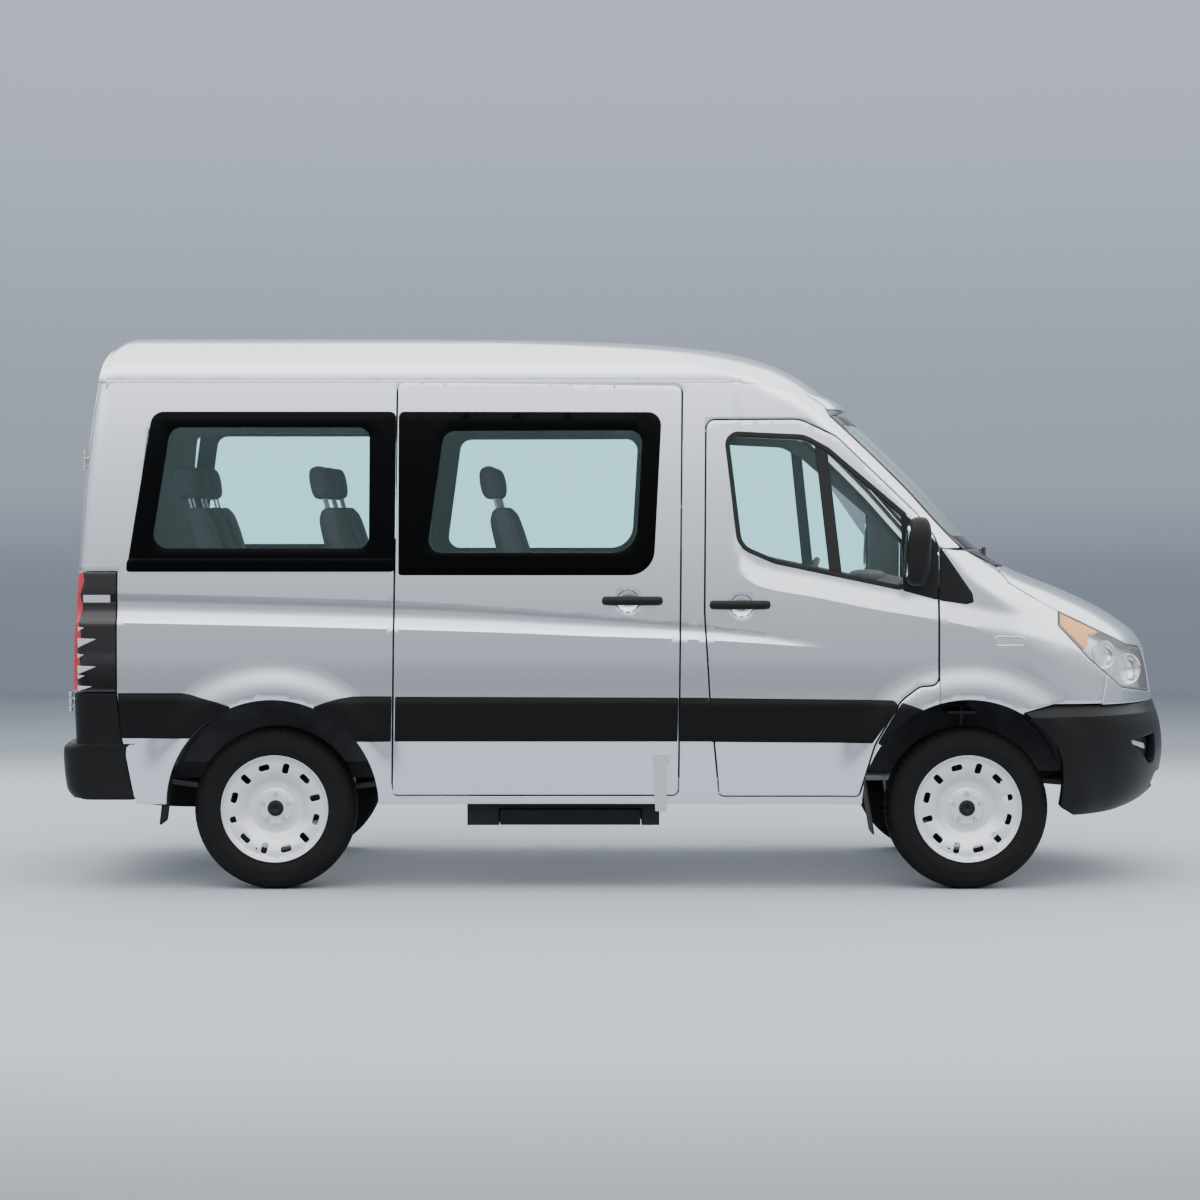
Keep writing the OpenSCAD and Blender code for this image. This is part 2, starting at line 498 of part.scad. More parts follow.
module front_bumper()
    color(black) difference() {
        union() {
            wrap_skin([345, 380, 440, 520, 625, 720, 790, 858], wrap_angles, [60, 180, 330], 40);
            translate([front_x - 60, -265, 575]) cube([57, 530, 120]);
            for (side = [-1, 1]) translate([front_x - 269.5, side > 0 ? 480 : -560, 500]) cube([190, 80, 40]);
        }
        for (side = [-1, 1]) {
            arch_cut(front_axle_x, side);
            side_prism([[front_axle_x - 700, 200], [front_axle_x + 300, 200], [front_axle_x + 440, 520],
                [front_axle_x + 420, 700], [front_axle_x + 330, 880], [front_axle_x - 700, 880]], side, 0, 300);
            side_prism(rounded([[front_x - 145, 720, 20], [front_x - 145, 590, 20], [front_x - 10, 590, 20], [front_x - 20, 720, 20]]), side, 0, 560);
        }
        translate([front_x - 400, -420, 430]) cube([500, 840, 90]);
        translate([front_axle_x, 0, 0]) translate([0, -760, 300]) cube([560, 1520, 700]);
    }
module grille() {
    color(paint) difference() {
        wrap_skin([861, 915, 1020, 1070, 1111], wrap_angles, [], 30);
        for (side = [-1, 1]) {
            side_prism([[seam_x, 1200], [seam_x, 1040], [seam_x - 22, 865], [seam_x - 22, 700], [front_axle_x - 400, 700], [front_axle_x - 400, 1200]], side, 0.2, 1060);
            side_prism(lamp_outline, side, 0.5, lamp_reach + 0.5);
        }
        translate([front_x - 500, -360, 885]) cube([700, 720, 190]);
    }
    color(black) for (z = [905, 950, 995, 1040])
        intersection() {
            wrap_skin([z, z + 14], [-34, -24, -14, -7, 0, 7, 14, 24, 34], [], 60, -8);
            translate([front_x - 500, -362, 880]) cube([700, 724, 200]);
        }
}

module lamps()
    for (side = [-1, 1]) {
        color([0.85, 0.87, 0.9]) intersection() {
            difference() {
                front_skin(side, [900, 940, 990, 1040, 1110, 1180, 1250, 1310], [0.45, 0.54, 0.63, 0.72, 0.8, 0.88, 0.94, 0.975], 90);
                side_prism(concat([for (p = wing_top) p], [[front_x + 100, 1700], [door_front_x - 50, 1700]]), side, bonnet_gap / 2, 1000);
            }
            side_prism(lamp_outline, side, 0, lamp_reach);
        }
        color([0.45, 0.05, 0.06]) intersection() {
            corner_skin(side, [pillar_x + 30], [900, 1100, 1300, 1345, 1500], 60);
            translate([rear_x + 40, side > 0 ? 600 : -1100, 931]) cube([pillar_x + 9 - rear_x - 40, 500, 561.6]);
        }
    }

module rear_bumper()
    color(black) difference() {
        union() {
            corner_cover(1);
            corner_cover(-1);
            tail_wrap([430, 470, 560, 632, 676, 688], 34);
            translate([0, 0, 654]) linear_extrude(32) offset(delta = -6) polygon(tail_plan(676));
            for (y = [-410, 350]) translate([rear_x + 20, y, 515]) cube([69.7, 60, 60]);
        }
        translate([rear_x + 130, -1100, 640]) cube([600, 2200, 62]);
        for (side = [-1, 1]) translate([rear_x + 40, side > 0 ? 880 : -953, 883 - 54]) cube([150, 73, 108]);
        translate([rear_x + 200, -rear_edge(900) - 30, 640]) cube([600, 2 * rear_edge(900) + 60, 400]);
        translate([rear_x - 10, -280, 490]) cube([24, 560, 130]);
    }
module corner_cover(side)
    intersection() {
        corner_skin(side, [pillar_x + 60, pillar_x + 140], [sill_z + 20, 520, 600, 679, 780, 860, 926], 55);
        side_prism([[rear_x - 50, 926], [pillar_x + 9, 926], [pillar_x + 86, 400], [rear_x - 50, 400]], side, 0, 300);
        translate([rear_x - 50, side > 0 ? rear_edge(900) + 6 : -1200, 300]) cube([1000, 1200 - rear_edge(900) - 6, 700]);
    }
tail_p = 3;
function tail_face(z) = rear_x + lookup(z, [[430, 45], [470, 15], [560, 3], [632, 0], [676, 5], [688, 22]]);
tail_from = pillar_x + 60;
function tail_point(turn, z, depth) = let (deep = tail_from - tail_face(z) - depth, half = outer_half(tail_from, z) + 3 - depth)
    [tail_from - deep * pow(cos(turn), 2 / tail_p), sign(turn) * half * pow(sin(abs(turn)), 2 / tail_p)];
tail_turns = [-90, -80, -70, -60, -50, -40, -28, -15, 0, 15, 28, 40, 50, 60, 70, 80, 90];
function tail_plan(z) = [for (turn = tail_turns) tail_point(turn, z, 0)];
module tail_wrap(heights, wall)
    skin([for (z = heights) for (turn = tail_turns) let (p = tail_point(turn, z, 0)) [p[0], p[1], z]],
         [for (z = heights) for (turn = tail_turns) let (p = tail_point(turn, z, wall)) [p[0], p[1], z]],
         len(heights), len(tail_turns));

// Glass
module windscreen() {
    rows = [for (z = screen_rows) z == screen_low_z ? z + seat_gap : z];
    shares = roof_shares;
    t = glass_t * 1.4;
    function half(z) = outer_half(pillar_edge(z) + seat_gap, z);
    function at(c, z) = [front_at(abs(c) * half(z), z), c * half(z), z];
    function inside(c, z) = abs(c) == 1 ? at(c, z) - [0, sign(c) * t / 0.5, 0]
        : z == screen_top_z ? at(c, z) - [0, sign(c) * (abs(c) > 0.8 ? t : 0), t / 0.7] : at(c, z) - [t / 0.75, 0, 0];
    color(glass_tint) skin([for (z = rows) for (c = shares) at(c, z)], [for (z = rows) for (c = shares) inside(c, z)],
        len(rows), len(shares), true);
}
module pane(side, outline, x0, x1) color(glass_tint)
    intersection() {
        side_skin([x0, x1], [1500, 1620, 1800, 2000, 2200, 2300], side, -2, glass_t);
        side_prism(outline, side, -seat_gap);
    }
module side_windows()
    for (side = [-1, 1]) {
        pane(side, quarter_pane, quarter_x[0] - 100, quarter_x[1] + 10);
        pane(side, slider_pane, slider_x[0] - 20, slider_x[1] + 10);
    }

module sliding_door() color(paint) {
    difference() {
        intersection() {
            side_skin(slider_columns,
                concat([sill_z + 20], [for (i = [1:len(heights_low) - 1]) heights_low[i]], heights_mid, heights_high), -1);
            side_prism(slider_outline, -1, -seat_gap);
        }
        side_prism(slider_pane, -1);
    }
    for (z = [900, 1500]) {
        translate([slider_rear_x - 26 + 22 * (z - 446) / 1938 + 0.66, 40 - outer_half(slider_rear_x, z), z + 1]) cube([14, 16, 38]);
    }
    handle(29, 1362, -1);
}

// Strips, door rail and handle along the sides
moulding_rows = [679, 780, 911];
module strip(side, columns, outline)
    intersection() {
        side_skin(columns, moulding_rows, side, 9, 8.7);
        side_prism(outline, side, -12);
    }
handle_size = [260, 24, 40];
module handle(x, z, side)
    translate([x - handle_size[0] / 2, side > 0 ? outer_half(x, z) - 12 : -outer_half(x, z) - 22, z - handle_size[2] / 2])
        cube([handle_size[0], 34, handle_size[2]]);
module side_trim()
    color(black) {
        strip(-1, slider_columns, slider_outline);
        strip(1, [for (i = [8:11]) rear_columns[i]], slider_outline);
        intersection() {
            side_skin([for (i = [1:9]) rear_columns[i]], [1400, 1500, 1620], -1, 6, 5.7);
            side_prism([[pillar_x + 150, 1497], [slider_rear_x - 12, 1497], [slider_rear_x - 12, 1540], [pillar_x + 150, 1540]], -1);
        }
    }

// Cabin
seat_line = rounded([[-210, seat_h - 100, 30], [260, seat_h - 95, 30], [270, seat_h + 20, 45], [-120, seat_h - 10, 60],
    [-300, seat_h + 640, 40], [-390, seat_h + 620, 40]]);
module seat(x, y)
    translate([x, y, floor_z]) {
        translate([0, seat_w / 2, 0]) rotate([90, 0, 0]) linear_extrude(seat_w) polygon(seat_line);
        translate([0, 130, 0]) rotate([90, 0, 0]) linear_extrude(260)
            polygon(rounded([[-375, seat_h + 660, 15], [-300, seat_h + 660, 15], [-310, seat_h + 850, 30], [-400, seat_h + 840, 30]]));
        for (dy = [-90, 80]) translate([-352, dy, seat_h + 600]) rotate([0, -12, 0]) cube([10, 10, 80]);
        translate([-180, -seat_w / 2 + 70, 0]) cube([320, seat_w - 140, seat_h - 100 + slack]);
    }
steer_y = 400;
front_seat_x = door_rear_x + 240;
module front_seats() color([0.13, 0.14, 0.15]) {
    seat(front_seat_x, steer_y);
    seat(front_seat_x, -steer_y);
}
row_x = [rear_axle_x - 119, slider_rear_x - 48, slider_front_x - 564];
module rear_seats() color([0.13, 0.14, 0.15]) {
    for (x = row_x) for (y = [-465, 0, 465]) seat(x, y);
}
wheel_tilt = 62;
steer_x = door_front_x - 560;
steer_z = 1360;
module dashboard() {
    color([0.2, 0.21, 0.22])
        translate([0, 800, 0]) rotate([90, 0, 0]) linear_extrude(1600)
            polygon(rounded([[door_front_x - 360, 1330, 60], [door_front_x - 280, 1120, 60], [door_front_x - 120, 1020, 40],
                [door_front_x + 39.8, 1000, 0], [door_front_x + 39.8, 1400, 0], [door_front_x - 120, 1450, 60]]));
    color(black) translate([steer_x, steer_y, steer_z]) rotate([0, -wheel_tilt, 0]) {
        rotate_extrude($fn = 48) translate([190, 0]) circle(r = 14, $fn = 20);
        translate([0, 0, -40]) cylinder(h = 60, r = 60);
        for (a = [30, 150, 270]) rotate([0, 0, a]) translate([40, -16, -8]) cube([140, 32, 16]);
        translate([0, 0, -290]) cylinder(h = 260, r = 34);
    }
}

// Under the body
module engine() color(steel) {
    translate([front_axle_x + 90, -360, 560]) cube([520, 720, 560]);
    for (side = [-1, 1]) translate([front_axle_x + 300, side > 0 ? 359 : -440, 600.2]) cube([80, 81, 50]);
}
rail_y = 430;
rail_low = floor_z - floor_t - 120;
module chassis_rails() color(steel) {
    for (side = [-1, 1]) {
        rail(side);
        translate([front_axle_x - 600, side > 0 ? 395 : -455, front_rail_z]) cube([front_x - 330 - front_axle_x + 600, 60, 80]);
    }
    for (x = [rear_x + 90, rear_axle_x - 420, rear_axle_x + 560, rear_axle_x + 1350, front_axle_x - 560])
        translate([x, -rail_y - slack, rail_low + 20]) cube([60, 2 * rail_y + 2 * slack, 80]);
    front_subframe();
}
tow_hole_x = [rear_x + 215, rear_x + 315];
module rail(side)
    difference() {
        translate([rear_x + 90, side > 0 ? rail_y : -rail_y - 70, rail_low]) cube([front_axle_x - 480 - rear_x - 90, 70, 120]);
        for (x = tow_hole_x) translate([x, side * (rail_y + 35), rail_low - 5]) cylinder(h = 130, r = 6.5);
    }
front_rail_z = 520;
ball_z = 268;
module front_subframe() {
    translate([front_axle_x - 130, -400, 300]) cube([260, 800, 50]);
    for (side = [-1, 1]) {
        for (x = [-120, 80]) translate([front_axle_x + x, side > 0 ? 396 : -440, 300]) cube([40, 44, front_rail_z - 300 + slack]);
        translate([front_axle_x - 35, side > 0 ? 390 : -kingpin_y, ball_z]) cube([70, kingpin_y - 390, 32 + slack]);
        translate([front_axle_x, side * kingpin_y, ball_z]) cylinder(h = 32, r = 32);
        translate([front_axle_x, side * kingpin_y, ball_z]) cylinder(h = 82, r = 12);
    }
}
tower_z = 812;
module strut_tower(side)
    difference() {
        translate([front_axle_x - 70, side > 0 ? liner_in + 5 : -kingpin_y - 45, tower_z]) cube([140, kingpin_y + 40 - liner_in, 12]);
        translate([front_axle_x, side * kingpin_y, tower_z - 10]) cylinder(h = 40, r = 12 + pin_fit);
    }
spindle_r = 30;
module knuckle(side) color(steel)
    difference() {
        union() {
            translate([front_axle_x, side * kingpin_y, 302]) cylinder(h = 160, r = 36);
            translate([front_axle_x, side * kingpin_y, axle_z]) rotate([side > 0 ? -90 : 90, 0, 0]) cylinder(h = half_track + 26 - kingpin_y, r = spindle_r);
            translate([front_axle_x, side * kingpin_y, 462 - slack]) cylinder(h = 300, r = 24);
            translate([front_axle_x, side * kingpin_y, 760]) cylinder(h = 80, r = 12);
        }
        translate([front_axle_x, side * kingpin_y, 290]) cylinder(h = 64, r = 12 + pin_fit);
    }
module rear_axle() color(steel) {
    for (side = [-1, 1]) {
        translate([rear_axle_x, -side * slack, axle_z]) rotate([side > 0 ? -90 : 90, 0, 0]) cylinder(h = half_track - 110, r = 42);
        translate([rear_axle_x, side * (half_track - 110 - slack), axle_z]) rotate([side > 0 ? -90 : 90, 0, 0]) cylinder(h = 136, r = spindle_r);
        leaf_spring(side);
    }
}
module leaf_spring(side)
    translate([0, side > 0 ? rail_y + 90 : -rail_y - 150, 0]) {
        translate([0, 60, 0]) rotate([90, 0, 0]) linear_extrude(60)
            polygon(concat([for (u = [-1:0.2:1.01]) [rear_axle_x + 600 * u, axle_z + 40 + 60 * u * u]],
                [for (u = [1:-0.2:-1.01]) [rear_axle_x + 600 * u, axle_z + 64 + 60 * u * u]]));
        for (u = [-1, 1]) translate([rear_axle_x + u * 580 - 20, -19.7, axle_z + 90]) cube([40, 80, floor_z - floor_t - axle_z - 90.2]);
    }
module exhaust() color(steel) {
    translate([front_axle_x - 200, 200, 440]) rotate([0, -90, 0]) cylinder(h = 1500, r = 26);
    translate([front_axle_x - 900, 200, 440]) rotate([0, -90, 0]) cylinder(h = 480, r = 85);
    for (x = [front_axle_x - 700, front_axle_x - 1590]) translate([x, 196, 460]) cube([30, 8, floor_z - floor_t - 460.2]);
}
module fuel_tank() color([0.1, 0.1, 0.1]) {
    translate([rear_axle_x + 680, -400, 400]) cube([620, 350, 160]);
    for (x = [720, 1230]) translate([rear_axle_x + x, -240, 560 - slack]) cube([30, 30, 49.8]);
}
module spare_wheel() color(black) {
    translate([rear_x + 560, 0, 330]) cylinder(h = 150, r = 310);
    translate([rear_x + 550, -10, 480 - slack]) cube([20, 20, 129.8]);
}
step_x = [slider_front_x - 1010, slider_front_x - 107];
step_out = 155;
module step_housing() color(black) {
    difference() {
        translate([step_x[0], -885, 300]) cube([step_x[1] - step_x[0], 330, 100]);
        translate([step_x[0] + step_out - 6, -900, 290]) cube([671, 300, 88]);
        for (x = runner_x) step_runner(x, pin_fit);
    }
    for (x = [step_x[0] + 100, step_x[1] - 140]) translate([x, -600, 400 - slack]) cube([40, 40, 209.8]);
}
runner_r = 9;
runner_x = [step_x[0] + step_out + 120, step_x[1] - 210];
module step_runner(x, fit = 0)
    translate([x, -640, 337]) rotate([-90, 0, 0]) cylinder(h = 320, r = runner_r + fit);
module side_step() color([0.15, 0.15, 0.16]) {
    translate([step_x[0] + step_out, -915, 304]) cube([659, 280, 66]);
    for (x = runner_x) step_runner(x);
}

// Bonnet
module bonnet_prism(grow)
    translate([0, 0, 1000]) linear_extrude(700) offset(delta = grow)
        polygon(rounded([[front_axle_x + 149, -720, 0], [front_axle_x + 205, -560, 200], [front_axle_x + 263, 0, 900], [front_axle_x + 205, 560, 200],
            [front_axle_x + 149, 720, 0], [front_axle_x + 149, 1200, 0], [front_x + 100, 1200, 0], [front_x + 100, -1200, 0], [front_axle_x + 149, -1200, 0]]));
function arm_top(reach) = top_at(bonnet_hinge_x + reach, bonnet_arm_y[1], 1118, screen_low_z) - 7;
module bonnet() color(paint) {
    difference() {
        intersection() {
            wrap_skin([1118, 1140, 1170, 1200, 1240, 1297, 1345, 1394, 1430, 1470, 1505, 1522],
                [-90, -82, -72, -62, -50, -36, -18, 0, 18, 36, 50, 62, 72, 82, 90], [], skin_wall);
            bonnet_prism(0);
        }
        side_prism(concat([for (p = wing_top) p], [[front_x + 40, 900], [door_front_x, 900]]), 1, bonnet_gap / 2, 2400);
    }
    for (y = bonnet_arm_y) {
        difference() {
            union() {
                translate([bonnet_hinge_x, y + 10, bonnet_hinge_z]) rotate([90, 0, 0]) cylinder(h = 20, r = 18);
                translate([0, y + 10, 0]) rotate([90, 0, 0]) linear_extrude(20)
                    polygon([[bonnet_hinge_x, bonnet_hinge_z - 16], [bonnet_hinge_x + 90, bonnet_hinge_z - 40],
                        [bonnet_hinge_x + 190, arm_top(190) - 34], [bonnet_hinge_x + 300, arm_top(300) - 24],
                        [bonnet_hinge_x + 300, arm_top(300)], [bonnet_hinge_x + 240, arm_top(240)], [bonnet_hinge_x + 190, arm_top(190)],
                        [bonnet_hinge_x + 80, bonnet_hinge_z + 2], [bonnet_hinge_x, bonnet_hinge_z + 12]]);
            }
        }
        translate([bonnet_hinge_x, y + 26, bonnet_hinge_z]) rotate([90, 0, 0]) cylinder(h = 52, r = pin_r);
    }
}

// Cab doors
module cab_door(side) color(paint) {
    difference() {
        intersection() {
            cab_skin(door_shares,
                concat([sill_z + 20, 520, 600, 679, 780, 911, 1010, 1100, 1200], heights_mid, [1700, 1800, 1900, 2000, 2100, 2215]),
                side, door_rear_x - 20, door_front_x + 30);
            side_prism(door_outline, side, -door_gap / 2);
        }
        side_prism(door_window, side);
        for (z = hinge_heights)
            translate([hinge_x - 40, side > 0 ? hinge_y - 100 : -hinge_y - 12 - 7, z - 27]) cube([140, 119, 54]);
    }
    for (z = hinge_heights) translate([hinge_x, side * hinge_y, z - 27 - slack]) cylinder(h = 54 + 2 * slack, r = pin_r);
    handle(531, 1339, side);
}
module door_glass(side) color(glass_tint)
    intersection() {
        cab_skin([0, 0.3, 0.6, 0.8, 1], [1380, 1500, 1620, 1800, 2000, 2200], side, door_rear_x - 20, door_front_x + 30, -6, glass_t);
        side_prism(door_window, side, -seat_gap);
    }
mirror_line = rounded([[door_front_x - 186, 1409, 40], [door_front_x - 40, 1440, 60], [door_front_x - 50, 1700, 90], [door_front_x - 176, 1758, 40]]);
module door_trim(side) color(black) {
    skin_y = outer_half(door_front_x - 120, 1560);
    translate([0, side > 0 ? skin_y + 230 : -skin_y - 40, 0]) rotate([90, 0, 0]) linear_extrude(190) polygon(mirror_line);
    translate([door_front_x - 150, side > 0 ? skin_y + 4 : -skin_y - 41, 1530]) cube([60, 37, 60]);
    door_x = [door_rear_x - 20, door_front_x + 30];
    intersection() {
        cab_skin(door_shares, [1345, 1400, 1500, 1548, 1620, 1700], side, door_x[0], door_x[1], 8, 7.7);
        side_prism([[door_front_x - 60, 1372], [door_front_x - 5, 1372], [door_front_x - 5, 1596], [door_front_x - 80, 1700], [door_front_x - 120, 1640]], side);
        side_prism(door_outline, side, -door_gap);
    }
    intersection() {
        cab_skin(door_shares, moulding_rows, side, door_x[0], door_x[1], 9, 8.7);
        side_prism(door_outline, side, -12);
    }
}

// Rear doors
module rear_door(side) {
    color(paint) difference() {
        intersection() {
            rear_skin(side, 0, side_wall);
            rear_prism(side, rear_leaf(side));
        }
        rear_prism(side, rear_window);
        intersection() {
            rear_skin(side, 22, side_wall + 20);
            translate([rear_x - 50, -9, 500]) cube([500, 18, 2200]);
        }
    }
    color(steel) for (place = rear_hinge_places)
        on_rear_hinge(side, place)
            difference() {
                union() {
                    translate([0, 0, -19]) cylinder(h = 38, r = rear_barrel_r);
                    translate([-5, side > 0 ? -50 : 0, -19]) cube([10, 50, 38]);
                    translate([-5, side > 0 ? -50 : 30, -19]) cube([40, 20, 38]);
                }
                translate([0, 0, -30]) cylinder(h = 60, r = rear_pin_r + pin_fit);
            }
}
rear_window = rounded([[150, 1535, 60], [760, 1535, 60], [715, 2200, 60], [150, 2200, 60]]);
function rear_leaf(side) = rounded([[4, rear_door_low, 0], [rear_edge(rear_door_low), rear_door_low, 20],
    [rear_edge(1345), 1345, 0], [rear_edge(1900), 1900, 0], [rear_edge(gutter_z) - 1, gutter_z - 26, 0],
    [rear_edge(gutter_z) - 49, rear_door_top - 2, 50], [4, rear_door_top + 28, 0]]);
module rear_skin(side, inset, wall) {
    heights = [rear_door_low - 10, 900, 1150, 1345, 1548, 1800, 2106, 2300, 2560];
    places = [0, 300, 560, 760, 1000];
    function at(y, z, t) = [tail_x(z) - 14 * (1 - pow(y / 1000, 2)) + inset + t, side * y, z];
    skin([for (y = places) for (z = heights) at(y, z, 0)], [for (y = places) for (z = heights) at(y, z, wall)],
        len(places), len(heights), side > 0);
}
module rear_prism(side, outline, grow = 0)
    translate([rear_x - 200, 0, 0]) rotate([90, 0, 90]) linear_extrude(600) offset(delta = grow)
        polygon([for (p = outline) [side * p[0], p[1]]]);
module rear_glass(side) color(glass_tint)
    intersection() {
        rear_skin(side, 3, glass_t);
        rear_prism(side, rear_window, -seat_gap);
    }

// Wheels
bead_r = rim_r - 8;
module tyre(x, side) color(black) translate([x, side * half_track, axle_z]) rotate([90, 0, 0])
    rotate_extrude($fn = 96) polygon([[bead_r, -tyre_w / 2 + 22], [bead_r + 14, -tyre_w / 2 + 12], [rim_r + 50, -tyre_w / 2],
        [tyre_r - 46, -tyre_w / 2 + 4], [tyre_r - 12, -tyre_w / 2 + 20], [tyre_r, -tyre_w / 2 + 46], [tyre_r, tyre_w / 2 - 46],
        [tyre_r - 12, tyre_w / 2 - 20], [tyre_r - 46, tyre_w / 2 - 4], [rim_r + 50, tyre_w / 2], [bead_r + 14, tyre_w / 2 - 12],
        [bead_r, tyre_w / 2 - 22]]);
module rim(x, side) color([0.75, 0.76, 0.78]) translate([x, side * half_track, axle_z]) rotate([side > 0 ? -90 : 90, 0, 0])
    difference() {
        rotate_extrude($fn = 96) polygon([[spindle_r + pin_fit, -40], [120, -40], [150, 30], [bead_r - 22, 44], [bead_r - 16, -tyre_w / 2 + 24],
            [bead_r, -tyre_w / 2 + 22], [bead_r, tyre_w / 2 - 22], [bead_r + 6, tyre_w / 2 - 13], [bead_r - 6, tyre_w / 2 - 10],
            [bead_r - 34, 66], [150, 62], [90, 30], [spindle_r + pin_fit, 30]]);
        for (i = [0:11]) rotate([0, 0, i * 30]) translate([bead_r - 54, 0, 20]) cylinder(h = 80, r = 12);
    }

body_side(1);  // body_side_left
body_side(-1);  // body_side_right
roof();
floor_plate();  // floor
scuttle();
wings();
front_bumper();
grille();
lamps();
rear_bumper();
windscreen();
side_windows();
sliding_door();
side_trim();
dashboard();
front_seats();
rear_seats();
engine();
chassis_rails();
rear_axle();
exhaust();
fuel_tank();
spare_wheel();
step_housing();
bonnet();
side_step();
cab_door(1);  // door_left
cab_door(-1);  // door_right
door_glass(1);  // door_glass_left
door_glass(-1);  // door_glass_right
door_trim(1);  // door_trim_left
door_trim(-1);  // door_trim_right
rear_door(1);  // rear_door_left
rear_door(-1);  // rear_door_right
rear_glass(1);  // rear_glass_left
rear_glass(-1);  // rear_glass_right
knuckle(1);  // knuckle_left
knuckle(-1);  // knuckle_right
tyre(front_axle_x, 1);  // tyre_front_left
tyre(front_axle_x, -1);  // tyre_front_right
tyre(rear_axle_x, 1);  // tyre_rear_left
tyre(rear_axle_x, -1);  // tyre_rear_right
rim(front_axle_x, 1);  // rim_front_left
rim(front_axle_x, -1);  // rim_front_right
rim(rear_axle_x, 1);  // rim_rear_left
rim(rear_axle_x, -1);  // rim_rear_right
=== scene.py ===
"""A high-roof minibus: smooth body panels, glass, lamps, trim, wheels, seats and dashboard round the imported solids.

The body's outside is one function of a place along the bus and a height, as in the part's source.
Every panel is an area of that surface: its outline is filled with triangles in two parameters, then each
point is placed by the surface function, and the rim is rounded and carried inwards by the wall's thickness.
"""

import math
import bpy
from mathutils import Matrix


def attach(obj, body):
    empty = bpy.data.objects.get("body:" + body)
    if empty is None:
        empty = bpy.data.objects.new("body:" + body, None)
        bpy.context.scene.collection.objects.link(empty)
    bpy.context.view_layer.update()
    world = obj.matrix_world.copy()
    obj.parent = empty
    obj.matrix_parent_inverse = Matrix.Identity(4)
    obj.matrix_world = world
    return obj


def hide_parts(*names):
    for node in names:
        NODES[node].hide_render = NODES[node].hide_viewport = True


bl_info = {
    "name": "Minibus dressing",
    "version": (1, 0, 0),
    "blender": (4, 5, 0),
    "location": "View3D > Sidebar > Minibus",
    "description": "Builds the visible surfaces of a high-roof minibus round its packed solids",
    "category": "Object",
}

import bmesh
import bpy
import numpy as np
from mathutils import Vector
from mathutils.geometry import delaunay_2d_cdt

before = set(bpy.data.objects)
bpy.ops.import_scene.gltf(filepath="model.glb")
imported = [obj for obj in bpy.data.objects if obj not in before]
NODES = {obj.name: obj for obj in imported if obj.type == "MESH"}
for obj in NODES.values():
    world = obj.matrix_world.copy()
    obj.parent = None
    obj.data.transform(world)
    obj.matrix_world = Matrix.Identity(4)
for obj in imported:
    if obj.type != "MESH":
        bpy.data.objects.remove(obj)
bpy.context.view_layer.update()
MM = 0.001

# Sizes of the body, in millimetres, as in the part's source
FRONT_X = 2655.0
REAR_X = -2655.0
FRONT_AXLE = 1605.0
REAR_AXLE = -1645.0
AXLE_Z = 380.0
HALF_WIDTH = 992.0
ROOF_TOP = 2622.0
SILL_Z = 405.0
BELLY_Z = 1100.0
GUTTER_Z = 2390.0
SCREEN_LOW = 1596.0
SCREEN_TOP = 2228.0
ARCH_Z = 400.0
ARCH_R = 498.0
HALF_TRACK = 822.0
DOOR_REAR = 368.0
DOOR_FRONT = 1461.0
SLIDER_FRONT = 266.0
SLIDER_REAR = -1069.0
PILLAR_X = -2384.0
WALL = 60.0
SKIN = 26.0
ROUND_P = 2.2
TAIL_ROUND = 70.0
EDGE_R = 2.0
GAP = 8.0
LIP = 32.0
UNDERCUT = 0.15
TURN_MM = 14.5
SIDES = {"left": 1, "right": -1}


def curve(table):
    """A smooth line through a table's points: cubic pieces whose slopes are harmonic means, so it
    never overshoots."""
    xs, ys = np.array(table, float).T
    steep = np.diff(ys) / np.diff(xs)
    pair = steep[:-1] * steep[1:]
    total = np.where(pair > 0, steep[:-1] + steep[1:], 1.0)
    slope = np.concatenate([steep[:1], np.where(pair > 0, 2 * pair / total, 0.0), steep[-1:]])

    def at(x):
        x = np.clip(np.asarray(x, float), xs[0], xs[-1])
        k = np.clip(np.searchsorted(xs, x, side="right") - 1, 0, len(xs) - 2)
        h = xs[k + 1] - xs[k]
        t = (x - xs[k]) / h
        return ((1 + 2 * t) * (1 - t) ** 2 * ys[k] + t * (1 - t) ** 2 * h * slope[k]
                + t * t * (3 - 2 * t) * ys[k + 1] + t * t * (t - 1) * h * slope[k + 1])
    return at


nose_back = curve([[345, 190], [380, 110], [440, 45], [520, 12], [625, 0], [720, 8], [790, 25], [860, 50],
                   [915, 58], [1020, 75], [1118, 101], [1160, 125], [1194, 155], [1240, 215], [1297, 305],
                   [1394, 509], [1460, 680], [1505, 787], [1545, 860], [1596, 932], [1912, 1232],
                   [2228, 1560],
                   [2357, 1706], [2455, 1851], [2542, 2095], [2577, 2330], [2605, 2700], [2622, 3400]])
nose_depth = curve([[300, 700], [1150, 700], [1400, 460], [1596, 240], [2228, 240], [2357, 330],
                    [2455, 480],
                    [2577, 900], [2622, 1400]])
tail_ahead = curve([[400, 100], [688, 80], [944, 75], [1548, 98], [2106, 140], [2516, 201], [2622, 225]])


def ease(t):
    """A smooth rise from 0 to 1."""
    t = np.clip(t, 0, 1)
    return t * t * (3 - 2 * t)


def nose_x(z):
    return FRONT_X - nose_back(z)


def corner_x(z):
    """Where the front corner starts to turn in."""
    return nose_x(z) - nose_depth(z)


def tail_x(z):
    return REAR_X + tail_ahead(z)


